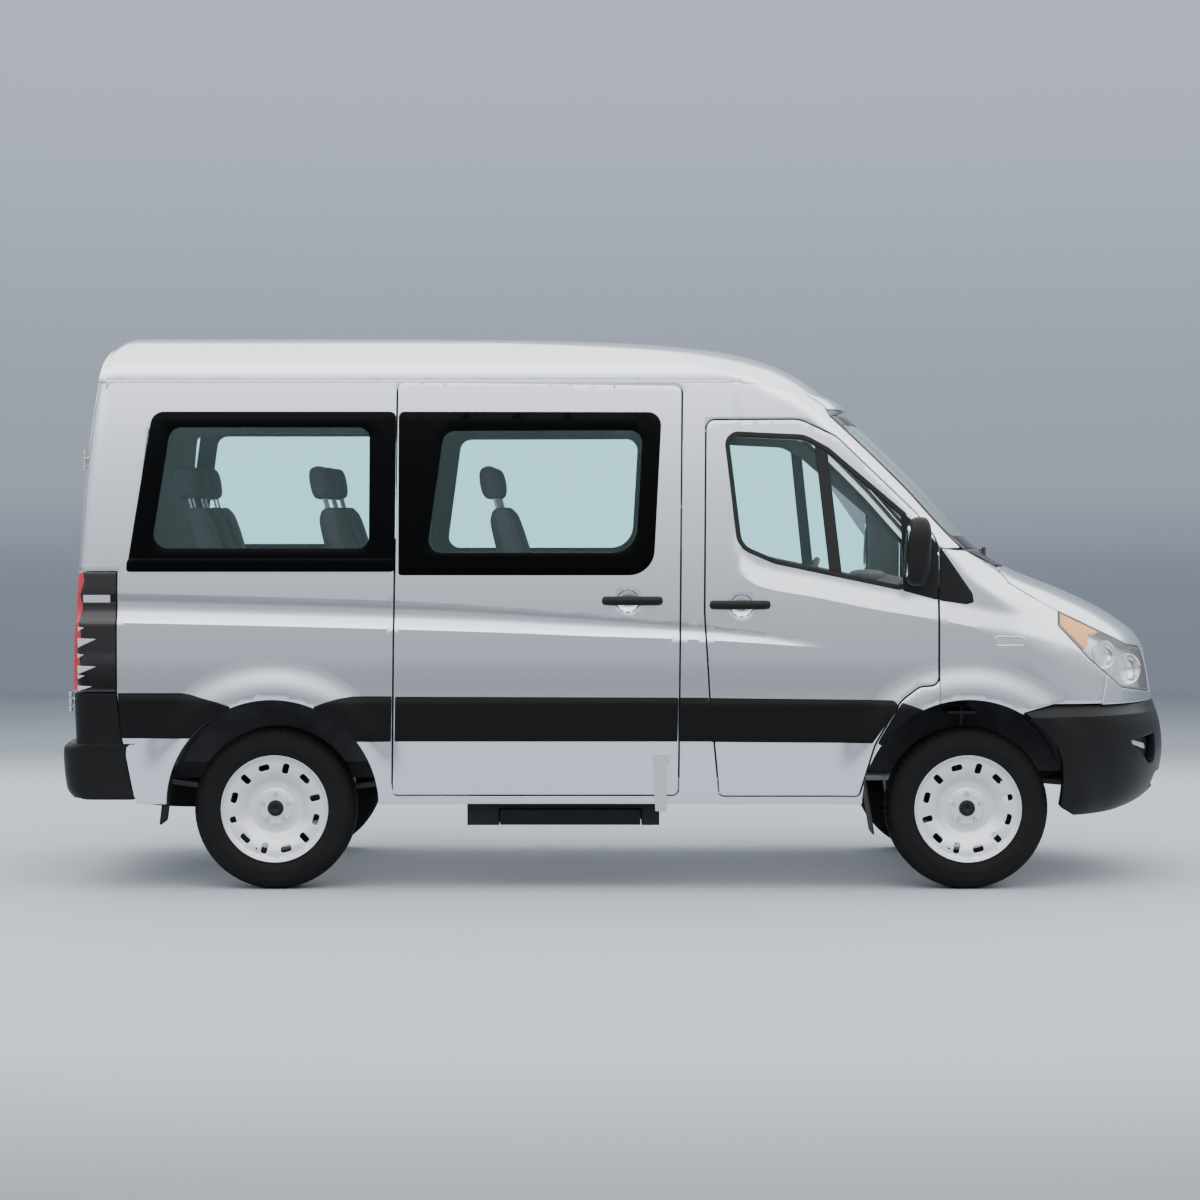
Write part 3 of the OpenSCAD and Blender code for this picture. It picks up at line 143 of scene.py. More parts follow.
crease_z = curve([[-2400, 1318], [-2000, 1311], [-1069, 1290], [-306, 1265], [361, 1218], [1015, 1148],
                  [1700, 1075]])
hollow_z = curve([[-2400, 75], [-1069, 67], [-306, 46], [361, 28], [1015, 8]])
shelf_z = curve([[-2400, 62], [-306, 66], [361, 42], [1015, 16]])
cab_crease_z = curve([[500, 1600], [524, 1570], [548, 1478], [629, 1424], [895, 1372], [1162, 1318],
                      [1443, 1271],
                      [1786, 1204], [2124, 1158]])


def crease_step(x, z):
    """How far the side stands in above its two creases. The long one is a scoop that turns in sharply under its
    upper edge, curves round and comes out to its lower edge; it fades out on the cab door, where the cab's own
    crease takes over below the window."""
    span = hollow_z(x) + shelf_z(x)
    down = np.clip((crease_z(x) + hollow_z(x) - z) / span, 0, 1)
    long_one = 13 + span * UNDERCUT * down - (13 + span * UNDERCUT) * down ** 3
    cab_one = 15 * np.clip((z - cab_crease_z(x)) / 95, 0,
                           1) * ease((x - 490) / 60) * (1 - 0.8 * ease((x - 1850) / 330))
    return long_one * (1 - ease((x - 361) / 654)) + cab_one


def flare(x, z, axle):
    """The arch's lip: flat for LIP from the arch's edge, then falling away over a band round it."""
    out = (np.hypot(x - axle + 5, z - ARCH_Z) - ARCH_R - LIP) / 140
    return 20 * (1 - ease(out))


def wall_half(x, z):
    """Half width of the flat sides: a section that tucks in at the sill and leans in above the belly, less the
    cab's taper and the creases' steps, plus the flares."""
    low = HALF_WIDTH - 38 * (np.clip(BELLY_Z - z, 0, None) / (BELLY_Z - SILL_Z)) ** 2
    high = 122 * (np.clip(np.minimum(z, GUTTER_Z) - BELLY_Z, 0, None) / (GUTTER_Z - BELLY_Z)) ** 1.6
    taper = 45 * (np.clip(x - 600, 0, None) / (FRONT_X - 600)) ** 2
    return low - high - taper - crease_step(x, z) + np.maximum(flare(x, z, FRONT_AXLE),
        flare(x, z, REAR_AXLE))


def outer_half(x, z):
    """Half width of the outside: the flat side times the roof's and the nose's superellipse."""
    up = np.clip((z - GUTTER_Z) / (ROOF_TOP - GUTTER_Z), 0, 1)
    ahead = np.clip((x - corner_x(z)) / nose_depth(z), 0, 1)
    return (wall_half(x, z) * np.clip(1 - up ** ROUND_P, 0, 1) ** (1 / ROUND_P)
            * (1 - ahead ** ROUND_P) ** (1 / ROUND_P))


def side_place(side, out=0.0):
    """Places on a side wall: u runs along the bus, and behind the rear pillar it runs round the
    corner's arc."""
    def place(u, z):
        start = tail_x(z) + TAIL_ROUND
        turn = np.clip((start - u) / TAIL_ROUND, 0, math.pi / 2)
        x = np.where(u >= start, u, start - TAIL_ROUND * np.sin(turn))
        half = outer_half(np.maximum(u, start), z) - TAIL_ROUND * (1 - np.cos(turn))
        y = side * (half + out * np.cos(turn))
        return np.stack([x - out * np.sin(turn), y, z + 0 * u], -1)
    return place


def nose_place(out=0.0):
    """Places on the nose: u turns round the front in millimetres of arc, then runs straight back along
    the side."""
    def place(u, z):
        full = 90 * TURN_MM
        turn = np.radians(np.clip(np.abs(u) / TURN_MM, 0, 90))
        x = corner_x(z) + nose_depth(z) * np.cos(turn) ** (2 / ROUND_P) - np.clip(np.abs(u) - full, 0, None)
        half = wall_half(x, z) * np.sin(turn) ** (2 / ROUND_P)
        return np.stack([x + out * np.cos(turn), np.sign(u) * (half + out * np.sin(turn)), z + 0 * u], -1)
    return place


def nose_u(x, z):
    """The turn coordinate of a place given by its side view."""
    share = np.clip((x - corner_x(z)) / nose_depth(z), 0, 1)
    turn = np.degrees(np.arccos(share ** (ROUND_P / 2)))
    return turn * TURN_MM + np.clip(corner_x(z) - x, 0, None)


def tail_place(side, out=0.0):
    """Places on the rear face: u is the width, and the face bows back towards the middle."""
    def place(u, z):
        return np.stack([tail_x(z) - 14 * (1 - (u / 1000) ** 2) - out, side * u, z + 0 * u], -1)
    return place


def roof_edge(x):
    """Height of the roof's edge: level over the doors, then falling steeply to the windscreen's corner."""
    edge = float(corner_x(SCREEN_TOP)) + 100
    fall = np.clip((edge - x) / 455, 0, 1)
    return 0.4 + SCREEN_TOP + (GUTTER_Z - SCREEN_TOP) * fall ** (1 / 3)


def roof_place():
    """Places on the roof: u runs from the rear header to the screen, v from side to side. The height is found by
    halving until the outside's half width is the point's."""
    edge = float(corner_x(SCREEN_TOP)) + 100
    back = float(tail_x(2540)) + 8

    def place(u, v):
        along = u / (edge - back)
        xe = back + along * (edge - back)
        ze = roof_edge(xe)
        half = outer_half(xe, ze)
        share = np.sin(np.clip(np.abs(v) / 850, 0, 1) * math.pi / 2) ** (2 / ROUND_P)
        front_half = float(outer_half(edge, SCREEN_TOP + 0.4))
        wall = wall_half(corner_x(SCREEN_TOP + 0.4), SCREEN_TOP + 0.4)
        s = np.minimum(share * front_half / wall, 0.999)
        header = corner_x(SCREEN_TOP + 0.4) + nose_depth(SCREEN_TOP + 0.4) * (1 - s ** ROUND_P) ** (1 / ROUND_P)
        x = back + along * (header - back)
        y = share * half
        low, high = ze + 0 * u, np.full(np.shape(u), ROOF_TOP)
        for _ in range(22):
            mid = (low + high) / 2
            wider = outer_half(x, mid) > y
            low, high = np.where(wider, mid, low), np.where(wider, high, mid)
        top = np.where(share >= 0.9999, ze, (low + high) / 2)
        drop = 0.16 * (top - ze) * np.clip(1 - along * 50, 0, None) ** 2
        return np.stack([x, np.sign(v) * y, top - drop], -1)
    return place, edge - back


def rounded(corners, steps=8):
    """An outline of (place, height, radius) with an arc in each corner."""
    out = []
    for i, (a, b, r) in enumerate(corners):
        q = np.array((a, b), float)
        if r == 0:
            out.append(q)
            continue
        u = np.array(corners[i - 1][:2]) - q
        v = np.array(corners[(i + 1) % len(corners)][:2]) - q
        u, v = u / np.linalg.norm(u), v / np.linalg.norm(v)
        half = math.acos(float(np.clip(u @ v, -1, 1))) / 2
        middle = q + (u + v) / np.linalg.norm(u + v) * r / math.sin(half)
        first, last = q + u * r / math.tan(half) - middle, q + v * r / math.tan(half) - middle
        start = math.atan2(first[1], first[0])
        sweep = (math.atan2(last[1], last[0]) - start + math.pi) % (2 * math.pi) - math.pi
        turns = start + sweep * np.linspace(0, 1, steps + 1)
        out.extend(middle + r * np.stack([np.cos(turns), np.sin(turns)], -1))
    return np.array(out)


def area_of(loop):
    x, y = np.asarray(loop).T
    return 0.5 * float(np.sum(x * np.roll(y, -1) - np.roll(x, -1) * y))


def grow(loop, d):
    """The outline moved outwards by d along the mean of its two edges' normals at each point."""
    loop = np.asarray(loop, float)
    ahead = np.roll(loop, -1, 0) - loop
    ahead /= np.maximum(np.linalg.norm(ahead, axis=1), 1e-9)[:, None]
    normal = np.stack([ahead[:, 1], -ahead[:, 0]], -1) * np.sign(area_of(loop))
    before = np.roll(normal, 1, 0)
    mean = normal + before
    mean /= np.maximum(np.linalg.norm(mean, axis=1), 1e-9)[:, None]
    return loop + mean * (d / np.clip(np.sum(mean * normal, 1), 0.35, 1))[:, None]


def dense(loop, step):
    """The closed outline with points added so that no edge is longer than step."""
    loop = np.asarray(loop, float)
    after = np.roll(loop, -1, 0)
    parts = []
    for p, q in zip(loop, after):
        n = max(1, int(math.ceil(np.linalg.norm(q - p) / step)))
        parts.append(p + (q - p) * np.linspace(0, 1, n, endpoint=False)[:, None])
    return np.concatenate(parts)


def inside(points, loop):
    """Whether each point is inside an outline, by counting crossings."""
    x, y = points[:, 0][:, None], points[:, 1][:, None]
    x0, y0 = loop[:, 0][None], loop[:, 1][None]
    x1, y1 = np.roll(loop[:, 0], -1)[None], np.roll(loop[:, 1], -1)[None]
    cross = (y0 > y) != (y1 > y)
    rise = np.where(y1 == y0, 1.0, y1 - y0)
    return (np.sum(cross & (x < x0 + (y - y0) * (x1 - x0) / rise), 1) % 2) == 1


def area_test(points, include, exclude):
    hit = np.zeros(len(points), bool)
    for loop in include:
        hit |= inside(points, loop)
    for loop in exclude:
        hit &= ~inside(points, loop)
    return hit


def fill(include, exclude, step, edge_step, lines=()):
    """Triangles over the outlines in include without those in exclude, on a grid of step inside, with the
    ordered outlines that bound them and, for each point, the number of the line it lies on, or -1."""
    include = [dense(loop, edge_step) for loop in include]
    exclude = [dense(loop, edge_step) for loop in exclude]
    points, edges = [], []
    for loop in include + exclude:
        base = len(points)
        points.extend(loop)
        edges.extend((base + i, base + (i + 1) % len(loop)) for i in range(len(loop)))
    on_line = {}
    for number, line in enumerate(lines):
        line = np.asarray(line, float)
        line = line[area_test(line, include, exclude)]
        on_line.update((len(points) + i, number) for i in range(len(line)))
        edges.extend((len(points) + i, len(points) + i + 1) for i in range(len(line) - 1)
                     if np.linalg.norm(line[i + 1] - line[i]) < 2.5 * edge_step)
        points.extend(line)
    border = np.array(points)
    low, high = np.concatenate(include).min(0), np.concatenate(include).max(0)
    us = np.arange(math.ceil(low[0] / step[0]), math.floor(high[0] / step[0]) + 1) * step[0]
    vs = np.arange(math.ceil(low[1] / step[1]), math.floor(high[1] / step[1]) + 1) * step[1]
    grid = np.stack(np.meshgrid(us, vs), -1).reshape(-1, 2)
    grid = grid[area_test(grid, include, exclude)]
    if len(grid):
        scaled, near = grid / step, border / step
        clear = np.ones(len(grid), bool)
        for part in np.array_split(np.arange(len(grid)), max(1, len(grid) // 2000)):
            gaps = ((scaled[part][:, None] - near[None]) ** 2).sum(-1).min(1)
            clear[part] = gaps > 0.12
        grid = grid[clear]
        points.extend(grid)
    found = delaunay_2d_cdt([Vector(p) for p in points], edges, [], 0, 1e-4)
    uv = np.array([tuple(v) for v in found[0]])
    flags = np.array([max((on_line.get(i, -1) for i in source), default=-1) for source in found[3]])
    tris = np.array([f for f in found[2] if len(f) == 3], int)
    tris = tris[area_test(uv[tris].mean(1), include, exclude)]
    used, tris = np.unique(tris, return_inverse=True)
    uv, flags, tris = uv[used], flags[used], tris.reshape(-1, 3)
    half = np.concatenate([tris[:, [0, 1]], tris[:, [1, 2]], tris[:, [2, 0]]])
    code, back = half[:, 0] * len(uv) + half[:, 1], half[:, 1] * len(uv) + half[:, 0]
    rim = half[~np.isin(code, back)]
    after = dict(rim.tolist())
    loops = []
    while after:
        start, at = next(iter(after.items()))
        loop = [start]
        del after[start]
        while at != start and at in after:
            loop.append(at)
            at = after.pop(at)
        loops.append(np.array(loop))
    return uv, tris, loops, flags


def normals_of(place, u, v, e=0.5):
    """Normals of a surface, across its two directions by small differences."""
    n = np.cross(place(u + e, v) - place(u - e, v), place(u, v + e) - place(u, v - e))
    return n / np.maximum(np.linalg.norm(n, axis=1), 1e-9)[:, None]


def add_mesh(name, verts, faces, materials, indices=None, smooth_angle=38):
    """A mesh object from points in millimetres, smooth but for its sharp edges."""
    mesh = bpy.data.meshes.new(name)
    mesh.from_pydata((np.asarray(verts) * MM).tolist(), [], faces)
    for material in materials:
        mesh.materials.append(material)
    if indices is not None:
        mesh.polygons.foreach_set("material_index", np.asarray(indices, np.int32))
    mesh.polygons.foreach_set("use_smooth", np.ones(len(mesh.polygons), bool))
    mesh.update()
    mesh.validate()
    mesh.set_sharp_from_angle(angle=math.radians(smooth_angle))
    made = bpy.data.objects.new(name, mesh)
    bpy.context.scene.collection.objects.link(made)
    return made


def panel(name, include, exclude, place, materials, depth=WALL, step=(26, 20), edge_step=14, edge_r=EDGE_R,
          sink=0.0, lines=(), inward=(0.0, 0.0, 1000.0)):
    """A closed panel over an area of a surface: the outside, a rounded rim, and an inner skin depth inside it.
    The rim turns outwards from the outline by edge_r while it drops by the same, then goes straight in. Lines are
    kept as sharp creases, and inward is a place on the inner side."""
    uv, tris, loops, flags = fill(include, exclude, step, edge_step, lines)
    points, normal = place(uv[:, 0], uv[:, 1]), normals_of(place, uv[:, 0], uv[:, 1])
    if np.sum((points - np.array(inward)) * normal) < 0:
        normal = -normal
    a, b, c = points[tris[:, 0]], points[tris[:, 1]], points[tris[:, 2]]
    if np.sum(np.cross(b - a, c - a) * normal[tris[:, 0]]) < 0:
        tris = tris[:, ::-1]
        loops = [loop[::-1] for loop in loops]
    points = points - normal * sink
    count = len(points)
    verts = [points, points - normal * depth]
    faces = tris.tolist() + (tris[:, ::-1] + count).tolist()
    kinds = [0] * len(tris) + [1] * len(tris)
    total = 2 * count
    for loop in loops:
        p, n = points[loop], normal[loop]
        along = np.roll(p, -1, 0) - np.roll(p, 1, 0)
        out = np.cross(along, n)
        out /= np.maximum(np.linalg.norm(out, axis=1), 1e-9)[:, None]
        rings = [loop]
        for sweep in ((30, 60, 90) if edge_r > 0 else ()):
            s = math.radians(sweep)
            verts.append(p + out * edge_r * math.sin(s) - n * edge_r * (1 - math.cos(s)))
            rings.append(np.arange(total, total + len(loop)))
            total += len(loop)
        verts.append(p + out * edge_r - n * depth)
        rings.append(np.arange(total, total + len(loop)))
        total += len(loop)
        rings.append(loop + count)
        for k in range(len(rings) - 1):
            r0, r1 = rings[k], rings[k + 1]
            quads = np.stack([np.roll(r0, -1), r0, r1, np.roll(r1, -1)], -1)
            faces.extend(quads.tolist())
            kinds.extend([1 if k == len(rings) - 2 else 0] * len(quads))
    made = add_mesh(name, np.concatenate(verts), faces, materials, kinds)
    if lines:
        mesh = made.data
        ends = np.zeros(2 * len(mesh.edges), np.int32)
        mesh.edges.foreach_get("vertices", ends)
        marks = np.full(len(mesh.vertices), -1)
        marks[:count] = flags
        ends = marks[ends.reshape(-1, 2)]
        sharp = np.zeros(len(mesh.edges), bool)
        attribute = mesh.attributes["sharp_edge"].data if "sharp_edge" in mesh.attributes else \
            mesh.attributes.new("sharp_edge", "BOOLEAN", "EDGE").data
        attribute.foreach_get("value", sharp)
        attribute.foreach_set("value", sharp | ((ends[:, 0] >= 0) & (ends[:, 0] == ends[:, 1])))
    return made


def grid_mesh(name, grid, materials, around=False, closed_ends=False, indices=None, smooth_angle=38):
    """A mesh over a grid of points in millimetres, rows by columns. Around joins the last column to the first, and
    closed ends cap the first and last rows with a fan to their mean."""
    grid = np.asarray(grid, float)
    rows, columns = grid.shape[:2]
    across = columns if around else columns - 1
    i, j = np.meshgrid(np.arange(rows - 1), np.arange(across), indexing="ij")
    i, j = i.ravel(), j.ravel()
    k = (j + 1) % columns
    faces = np.stack([i * columns + j, i * columns + k, (i + 1) * columns + k, (i + 1) * columns + j],
                     -1).tolist()
    verts = grid.reshape(-1, 3)
    if closed_ends:
        first, last = len(verts), len(verts) + 1
        verts = np.concatenate([verts, grid[:1].mean(1), grid[-1:].mean(1)])
        j = np.arange(across)
        k = (j + 1) % columns
        base = (rows - 1) * columns
        faces += np.stack([k, j, np.full(across, first)], -1).tolist()
        faces += np.stack([base + j, base + k, np.full(across, last)], -1).tolist()
    made = add_mesh(name, verts, faces, materials, indices, smooth_angle)
    if closed_ends or around:
        turn_outwards(made)
    return made


def turn_outwards(made):
    """Doubled points merged and every face turned to point outwards."""
    work = bmesh.new()
    work.from_mesh(made.data)
    bmesh.ops.remove_doubles(work, verts=work.verts, dist=1e-6)
    bmesh.ops.recalc_face_normals(work, faces=work.faces)
    work.to_mesh(made.data)
    work.free()
    return made


def revolve(name, profile, centre, materials, steps=96, side=1, shift=None, indices=None, smooth_angle=38):
    """A closed profile of (radius, reach) turned about a line along Y through centre. Reach runs outwards on its
    side, and shift moves the radius by a function of the turn and the profile's place."""
    profile = np.asarray(profile, float)
    turn = np.linspace(0, 2 * math.pi, steps, endpoint=False)[None, :]
    radius = np.repeat(profile[:, :1], steps, 1)
    if shift is not None:
        radius = radius + shift(turn, profile[:, 1:2], radius)
    reach = np.repeat(profile[:, 1:2], steps, 1)
    grid = np.stack([centre[0] + radius * np.cos(turn), centre[1] + side * reach,
                     centre[2] + radius * np.sin(turn)], -1)
    grid = np.concatenate([grid, grid[:1]])
    return grid_mesh(name, grid, materials, around=True, indices=indices, smooth_angle=smooth_angle)


def tube(name, path, radius, materials, steps=16, flat=1.0):
    """A round bar along a path: rings set square to the path, flattened by flat along the ring's
    second axis."""
    path = np.asarray(path, float)
    ahead = np.gradient(path, axis=0)
    ahead /= np.linalg.norm(ahead, axis=1)[:, None]
    up = np.array([0.0, 0.0, 1.0]) if abs(ahead[:, 2]).max() < 0.9 else np.array([0.0, 1.0, 0.0])
    first = np.cross(ahead, up)
    first /= np.linalg.norm(first, axis=1)[:, None]
    second = np.cross(first, ahead)
    turn = np.linspace(0, 2 * math.pi, steps, endpoint=False)
    radius = np.broadcast_to(np.asarray(radius, float), (len(path),))[:, None, None]
    grid = path[:, None] + radius * (first[:, None] * np.cos(turn)[None, :, None]
                                     + flat * second[:, None] * np.sin(turn)[None, :, None])
    return grid_mesh(name, grid, materials, around=True, closed_ends=True)


def soft_box(name, centre, size, materials, p=5.0, n=20, bend=None):
    """A closed rounded block: a sphere's directions pushed out to a superellipsoid of power p."""
    lat = np.linspace(-math.pi / 2, math.pi / 2, n + 1)[:, None]
    lon = np.linspace(0, 2 * math.pi, 2 * n, endpoint=False)[None, :]
    ray = np.stack([np.cos(lat) * np.cos(lon), np.cos(lat) * np.sin(lon), np.sin(lat) + 0 * lon], -1)
    cube = ray / np.abs(ray).max(-1, keepdims=True)
    ray = cube / (np.abs(cube) ** p).sum(-1, keepdims=True) ** (1 / p)
    grid = ray * (np.array(size) / 2)
    if bend is not None:
        grid = bend(grid)
    return turn_outwards(grid_mesh(name, grid + np.array(centre), materials, around=True))


def flat_place(axis, at, lean=0.0, lean_from=0.0):
    """Places on a flat plane: u and v are the two other axes, and the plane leans by lean of v."""
    def place(u, v):
        third = at + lean * (v - lean_from) + 0 * u
        order = {"x": [third, u, v], "y": [u, third, v], "z": [u, v, third]}[axis]
        return np.stack(order, -1)
    return place


def raised(place, height):
    """The same place moved outwards along its surface's normal by a height worked out from u and v."""
    def moved(u, v):
        points, normal = place(u, v), normals_of(place, u, v)
        outward = np.sign(np.sum(normal * (points - np.array([0, 0, 1000])), -1))
        return points + normal * (outward * height(u, v))[:, None]
    return moved


def join(name, made):
    """One object from several, with their materials kept."""
    work = bmesh.new()
    slots = []
    for piece in made:
        base = len(slots)
        slots.extend(piece.data.materials)
        before = len(work.faces)
        work.from_mesh(piece.data)
        work.faces.ensure_lookup_table()
        for face in work.faces[before:]:
            face.material_index += base
    mesh = bpy.data.meshes.new(name)
    kept = list(dict.fromkeys(slots))
    for face in work.faces:
        face.material_index = kept.index(slots[face.material_index])
    work.to_mesh(mesh)
    work.free()
    for material in kept:
        mesh.materials.append(material)
    for piece in made:
        bpy.data.meshes.remove(piece.data)
    whole = bpy.data.objects.new(name, mesh)
    bpy.context.scene.collection.objects.link(whole)
    return whole


def settle(piece, body, slot, *nodes):
    """Tells the frame which body the piece rides on and hides the solids it stands for. Its finish, slot, is not
    used.
    """
    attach(piece, body)
    if nodes:
        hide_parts(*nodes)
    return piece


def shader_group(name, inputs, outputs):
    """An empty node group with its named float inputs and its outputs."""
    tree = bpy.data.node_groups.new(name, "ShaderNodeTree")
    for label, value in inputs:
        tree.interface.new_socket(label, in_out="INPUT",
            socket_type="NodeSocketFloat").default_value = value
    for label, kind in outputs:
        tree.interface.new_socket(label, in_out="OUTPUT", socket_type=kind)
    return tree, tree.nodes.new("NodeGroupInput"), tree.nodes.new("NodeGroupOutput")


def make_grain():
    """Moulded or rolled grain: noise on the piece's own coordinates raised as a bump."""
    tree, given, out = shader_group("grain", [("Scale", 300.0), ("Strength", 0.1)],
        [("Normal", "NodeSocketVector")])
    where = tree.nodes.new("ShaderNodeTexCoord")
    noise = tree.nodes.new("ShaderNodeTexNoise")
    noise.inputs["Detail"].default_value = 3.0
    bump = tree.nodes.new("ShaderNodeBump")
    bump.inputs["Distance"].default_value = 0.001
    tree.links.new(where.outputs["Object"], noise.inputs["Vector"])
    tree.links.new(given.outputs["Scale"], noise.inputs["Scale"])
    tree.links.new(noise.outputs["Fac"], bump.inputs["Height"])
    tree.links.new(given.outputs["Strength"], bump.inputs["Strength"])
    tree.links.new(bump.outputs["Normal"], out.inputs["Normal"])
    return tree


def make_uneven():
    """A value that drifts between low and high over the surface."""
    tree, given, out = shader_group("uneven", [("Scale", 4.0), ("Low", 0.3), ("High", 0.4)],
                                    [("Value", "NodeSocketFloat")])
    where = tree.nodes.new("ShaderNodeTexCoord")
    noise = tree.nodes.new("ShaderNodeTexNoise")
    noise.inputs["Detail"].default_value = 4.0
    spread = tree.nodes.new("ShaderNodeMapRange")
    spread.inputs["From Min"].default_value = 0.35
    spread.inputs["From Max"].default_value = 0.65
    tree.links.new(where.outputs["Object"], noise.inputs["Vector"])
    tree.links.new(given.outputs["Scale"], noise.inputs["Scale"])
    tree.links.new(noise.outputs["Fac"], spread.inputs["Value"])
    tree.links.new(given.outputs["Low"], spread.inputs["To Min"])
    tree.links.new(given.outputs["High"], spread.inputs["To Max"])
    tree.links.new(spread.outputs["Result"], out.inputs["Value"])
    return tree


def make_weave():
    """Two crossed sets of threads: a mask of their crossings and the bump they raise."""
    tree, given, out = shader_group("weave", [("Scale", 400.0), ("Strength", 0.3)],
                                    [("Mask", "NodeSocketFloat"), ("Normal", "NodeSocketVector")])
    where = tree.nodes.new("ShaderNodeTexCoord")
    waves = []
    for direction in ("Y", "DIAGONAL"):
        wave = tree.nodes.new("ShaderNodeTexWave")
        wave.bands_direction = direction
        wave.inputs["Distortion"].default_value = 0.6
        tree.links.new(where.outputs["Object"], wave.inputs["Vector"])
        tree.links.new(given.outputs["Scale"], wave.inputs["Scale"])
        waves.append(wave)
    both = tree.nodes.new("ShaderNodeMath")
    both.operation = "MAXIMUM"
    for k in range(2):
        tree.links.new(waves[k].outputs["Fac"], both.inputs[k])
    bump = tree.nodes.new("ShaderNodeBump")
    bump.inputs["Distance"].default_value = 0.001
    tree.links.new(both.outputs["Value"], bump.inputs["Height"])
    tree.links.new(given.outputs["Strength"], bump.inputs["Strength"])
    tree.links.new(both.outputs["Value"], out.inputs["Mask"])
    tree.links.new(bump.outputs["Normal"], out.inputs["Normal"])
    return tree


def make_dust():
    """Road dust: strongest near the ground and broken up by noise."""
    tree, given, out = shader_group("dust", [("Amount", 0.3), ("Height", 0.7)],
        [("Mask", "NodeSocketFloat")])
    where = tree.nodes.new("ShaderNodeTexCoord")
    parts = tree.nodes.new("ShaderNodeSeparateXYZ")
    low = tree.nodes.new("ShaderNodeMapRange")
    low.inputs["To Min"].default_value = 1.0
    low.inputs["To Max"].default_value = 0.0
    noise = tree.nodes.new("ShaderNodeTexNoise")
    noise.inputs["Scale"].default_value = 9.0
    noise.inputs["Detail"].default_value = 6.0
    broken = tree.nodes.new("ShaderNodeMath")
    broken.operation = "MULTIPLY"
    scaled = tree.nodes.new("ShaderNodeMath")
    scaled.operation = "MULTIPLY"
    tree.links.new(where.outputs["Object"], parts.inputs["Vector"])
    tree.links.new(parts.outputs["Z"], low.inputs["Value"])
    tree.links.new(given.outputs["Height"], low.inputs["From Max"])
    tree.links.new(where.outputs["Object"], noise.inputs["Vector"])
    tree.links.new(low.outputs["Result"], broken.inputs[0])
    tree.links.new(noise.outputs["Fac"], broken.inputs[1])
    tree.links.new(broken.outputs["Value"], scaled.inputs[0])
    tree.links.new(given.outputs["Amount"], scaled.inputs[1])
    tree.links.new(scaled.outputs["Value"], out.inputs["Mask"])
    return tree


def place_group(tree, group, **values):
    """A node group placed in a material, with its inputs set."""
    node = tree.nodes.new("ShaderNodeGroup")
    node.node_tree = bpy.data.node_groups[group]
    for label, value in values.items():
        node.inputs[label.capitalize()].default_value = value
    return node


def finish(name, colour, rough, metal=0.0, coat=0.0, alpha=1.0, specular=0.5, grain=None, uneven=None,
           weave=None,
           dust=0.0, transmission=0.0, glow=0.0, fleck=None):
    """A Principled material: its colour and gloss on the shader, with grain, weave, drift and dust from groups.
    A packed material of the same name makes way for it."""
    packed = bpy.data.materials.get(name)
    if packed:
        packed.name = f"packed_{name}"
    made = bpy.data.materials.new(name)
    made.use_nodes = True
    tree = made.node_tree
    shader = tree.nodes["Principled BSDF"]
    shader.inputs["Base Color"].default_value = (*colour, 1.0)
    shader.inputs["Roughness"].default_value = rough
    shader.inputs["Metallic"].default_value = metal
    shader.inputs["Coat Weight"].default_value = coat
    shader.inputs["Coat Roughness"].default_value = 0.04
    shader.inputs["Alpha"].default_value = alpha
    shader.inputs["Specular IOR Level"].default_value = specular
    shader.inputs["Transmission Weight"].default_value = transmission
    # glow is painted light: an emission in the material's own colour, used only for the glowing card behind the
    # windows
    if glow:
        shader.inputs["Emission Color"].default_value = (*colour, 1.0)
        shader.inputs["Emission Strength"].default_value = glow
    if grain:
        node = place_group(tree, "grain", scale=grain[0], strength=grain[1])
        tree.links.new(node.outputs["Normal"], shader.inputs["Normal"])
    if weave:
        node = place_group(tree, "weave", scale=weave[0], strength=weave[1])
        tree.links.new(node.outputs["Normal"], shader.inputs["Normal"])
        blend_colours(tree, shader, node.outputs["Mask"], [c * 0.45 for c in colour], colour)
    if uneven:
        node = place_group(tree, "uneven", scale=uneven[0], low=uneven[1], high=uneven[2])
        tree.links.new(node.outputs["Value"], shader.inputs["Roughness"])
    if fleck:
        node = place_group(tree, "uneven", scale=fleck[0], low=0.0, high=1.0)
        blend_colours(tree, shader, node.outputs["Value"], [c * fleck[1] for c in colour], colour)
    if dust:
        node = place_group(tree, "dust", amount=dust)
        blend_colours(tree, shader, node.outputs["Mask"], colour, (0.33, 0.31, 0.28))
    return made


def blend_colours(tree, shader, mask, first, second):
    """The base colour runs from first to second as the mask goes from 0 to 1."""
    mix = tree.nodes.new("ShaderNodeMix")
    mix.data_type = "RGBA"
    mix.inputs[6].default_value = (*first, 1.0)
    mix.inputs[7].default_value = (*second, 1.0)
    source = shader.inputs["Base Color"].links
    if source:
        tree.links.new(source[0].from_socket, mix.inputs[6])
    tree.links.new(mask, mix.inputs[0])
    tree.links.new(mix.outputs[2], shader.inputs["Base Color"])


def z_line(x0, x1, height, count=12):
    """Points along a line of the side view whose height is a function of its place."""
    xs = np.linspace(x0, x1, count)
    return [(float(x), float(z)) for x, z in zip(xs, height(xs))]


def circle(x, z, r, start=0.0, end=360.0, count=96):
    turns = np.radians(np.linspace(start, end, count, endpoint=abs(end - start) < 360))
    return np.stack([x + r * np.cos(turns), z + r * np.sin(turns)], -1)


def front_at(y, z):
    """Where the nose is along the bus at a half width and a height."""
    share = np.clip(np.abs(y) / wall_half(corner_x(z), z), 0, 0.999)
    return corner_x(z) + nose_depth(z) * (1 - share ** ROUND_P) ** (1 / ROUND_P)


def turned(line):
    """A line of the side view in the nose's own coordinates, with points close enough for a curve."""
    line = np.asarray(line, float)
    parts = [p + (q - p) * np.linspace(0, 1, 8, endpoint=False)[:, None] for p,
             q in zip(line[:-1], line[1:])]
    line = np.concatenate(parts + [line[-1:]])
    return np.stack([nose_u(line[:, 0], line[:, 1]), line[:, 1]], -1)


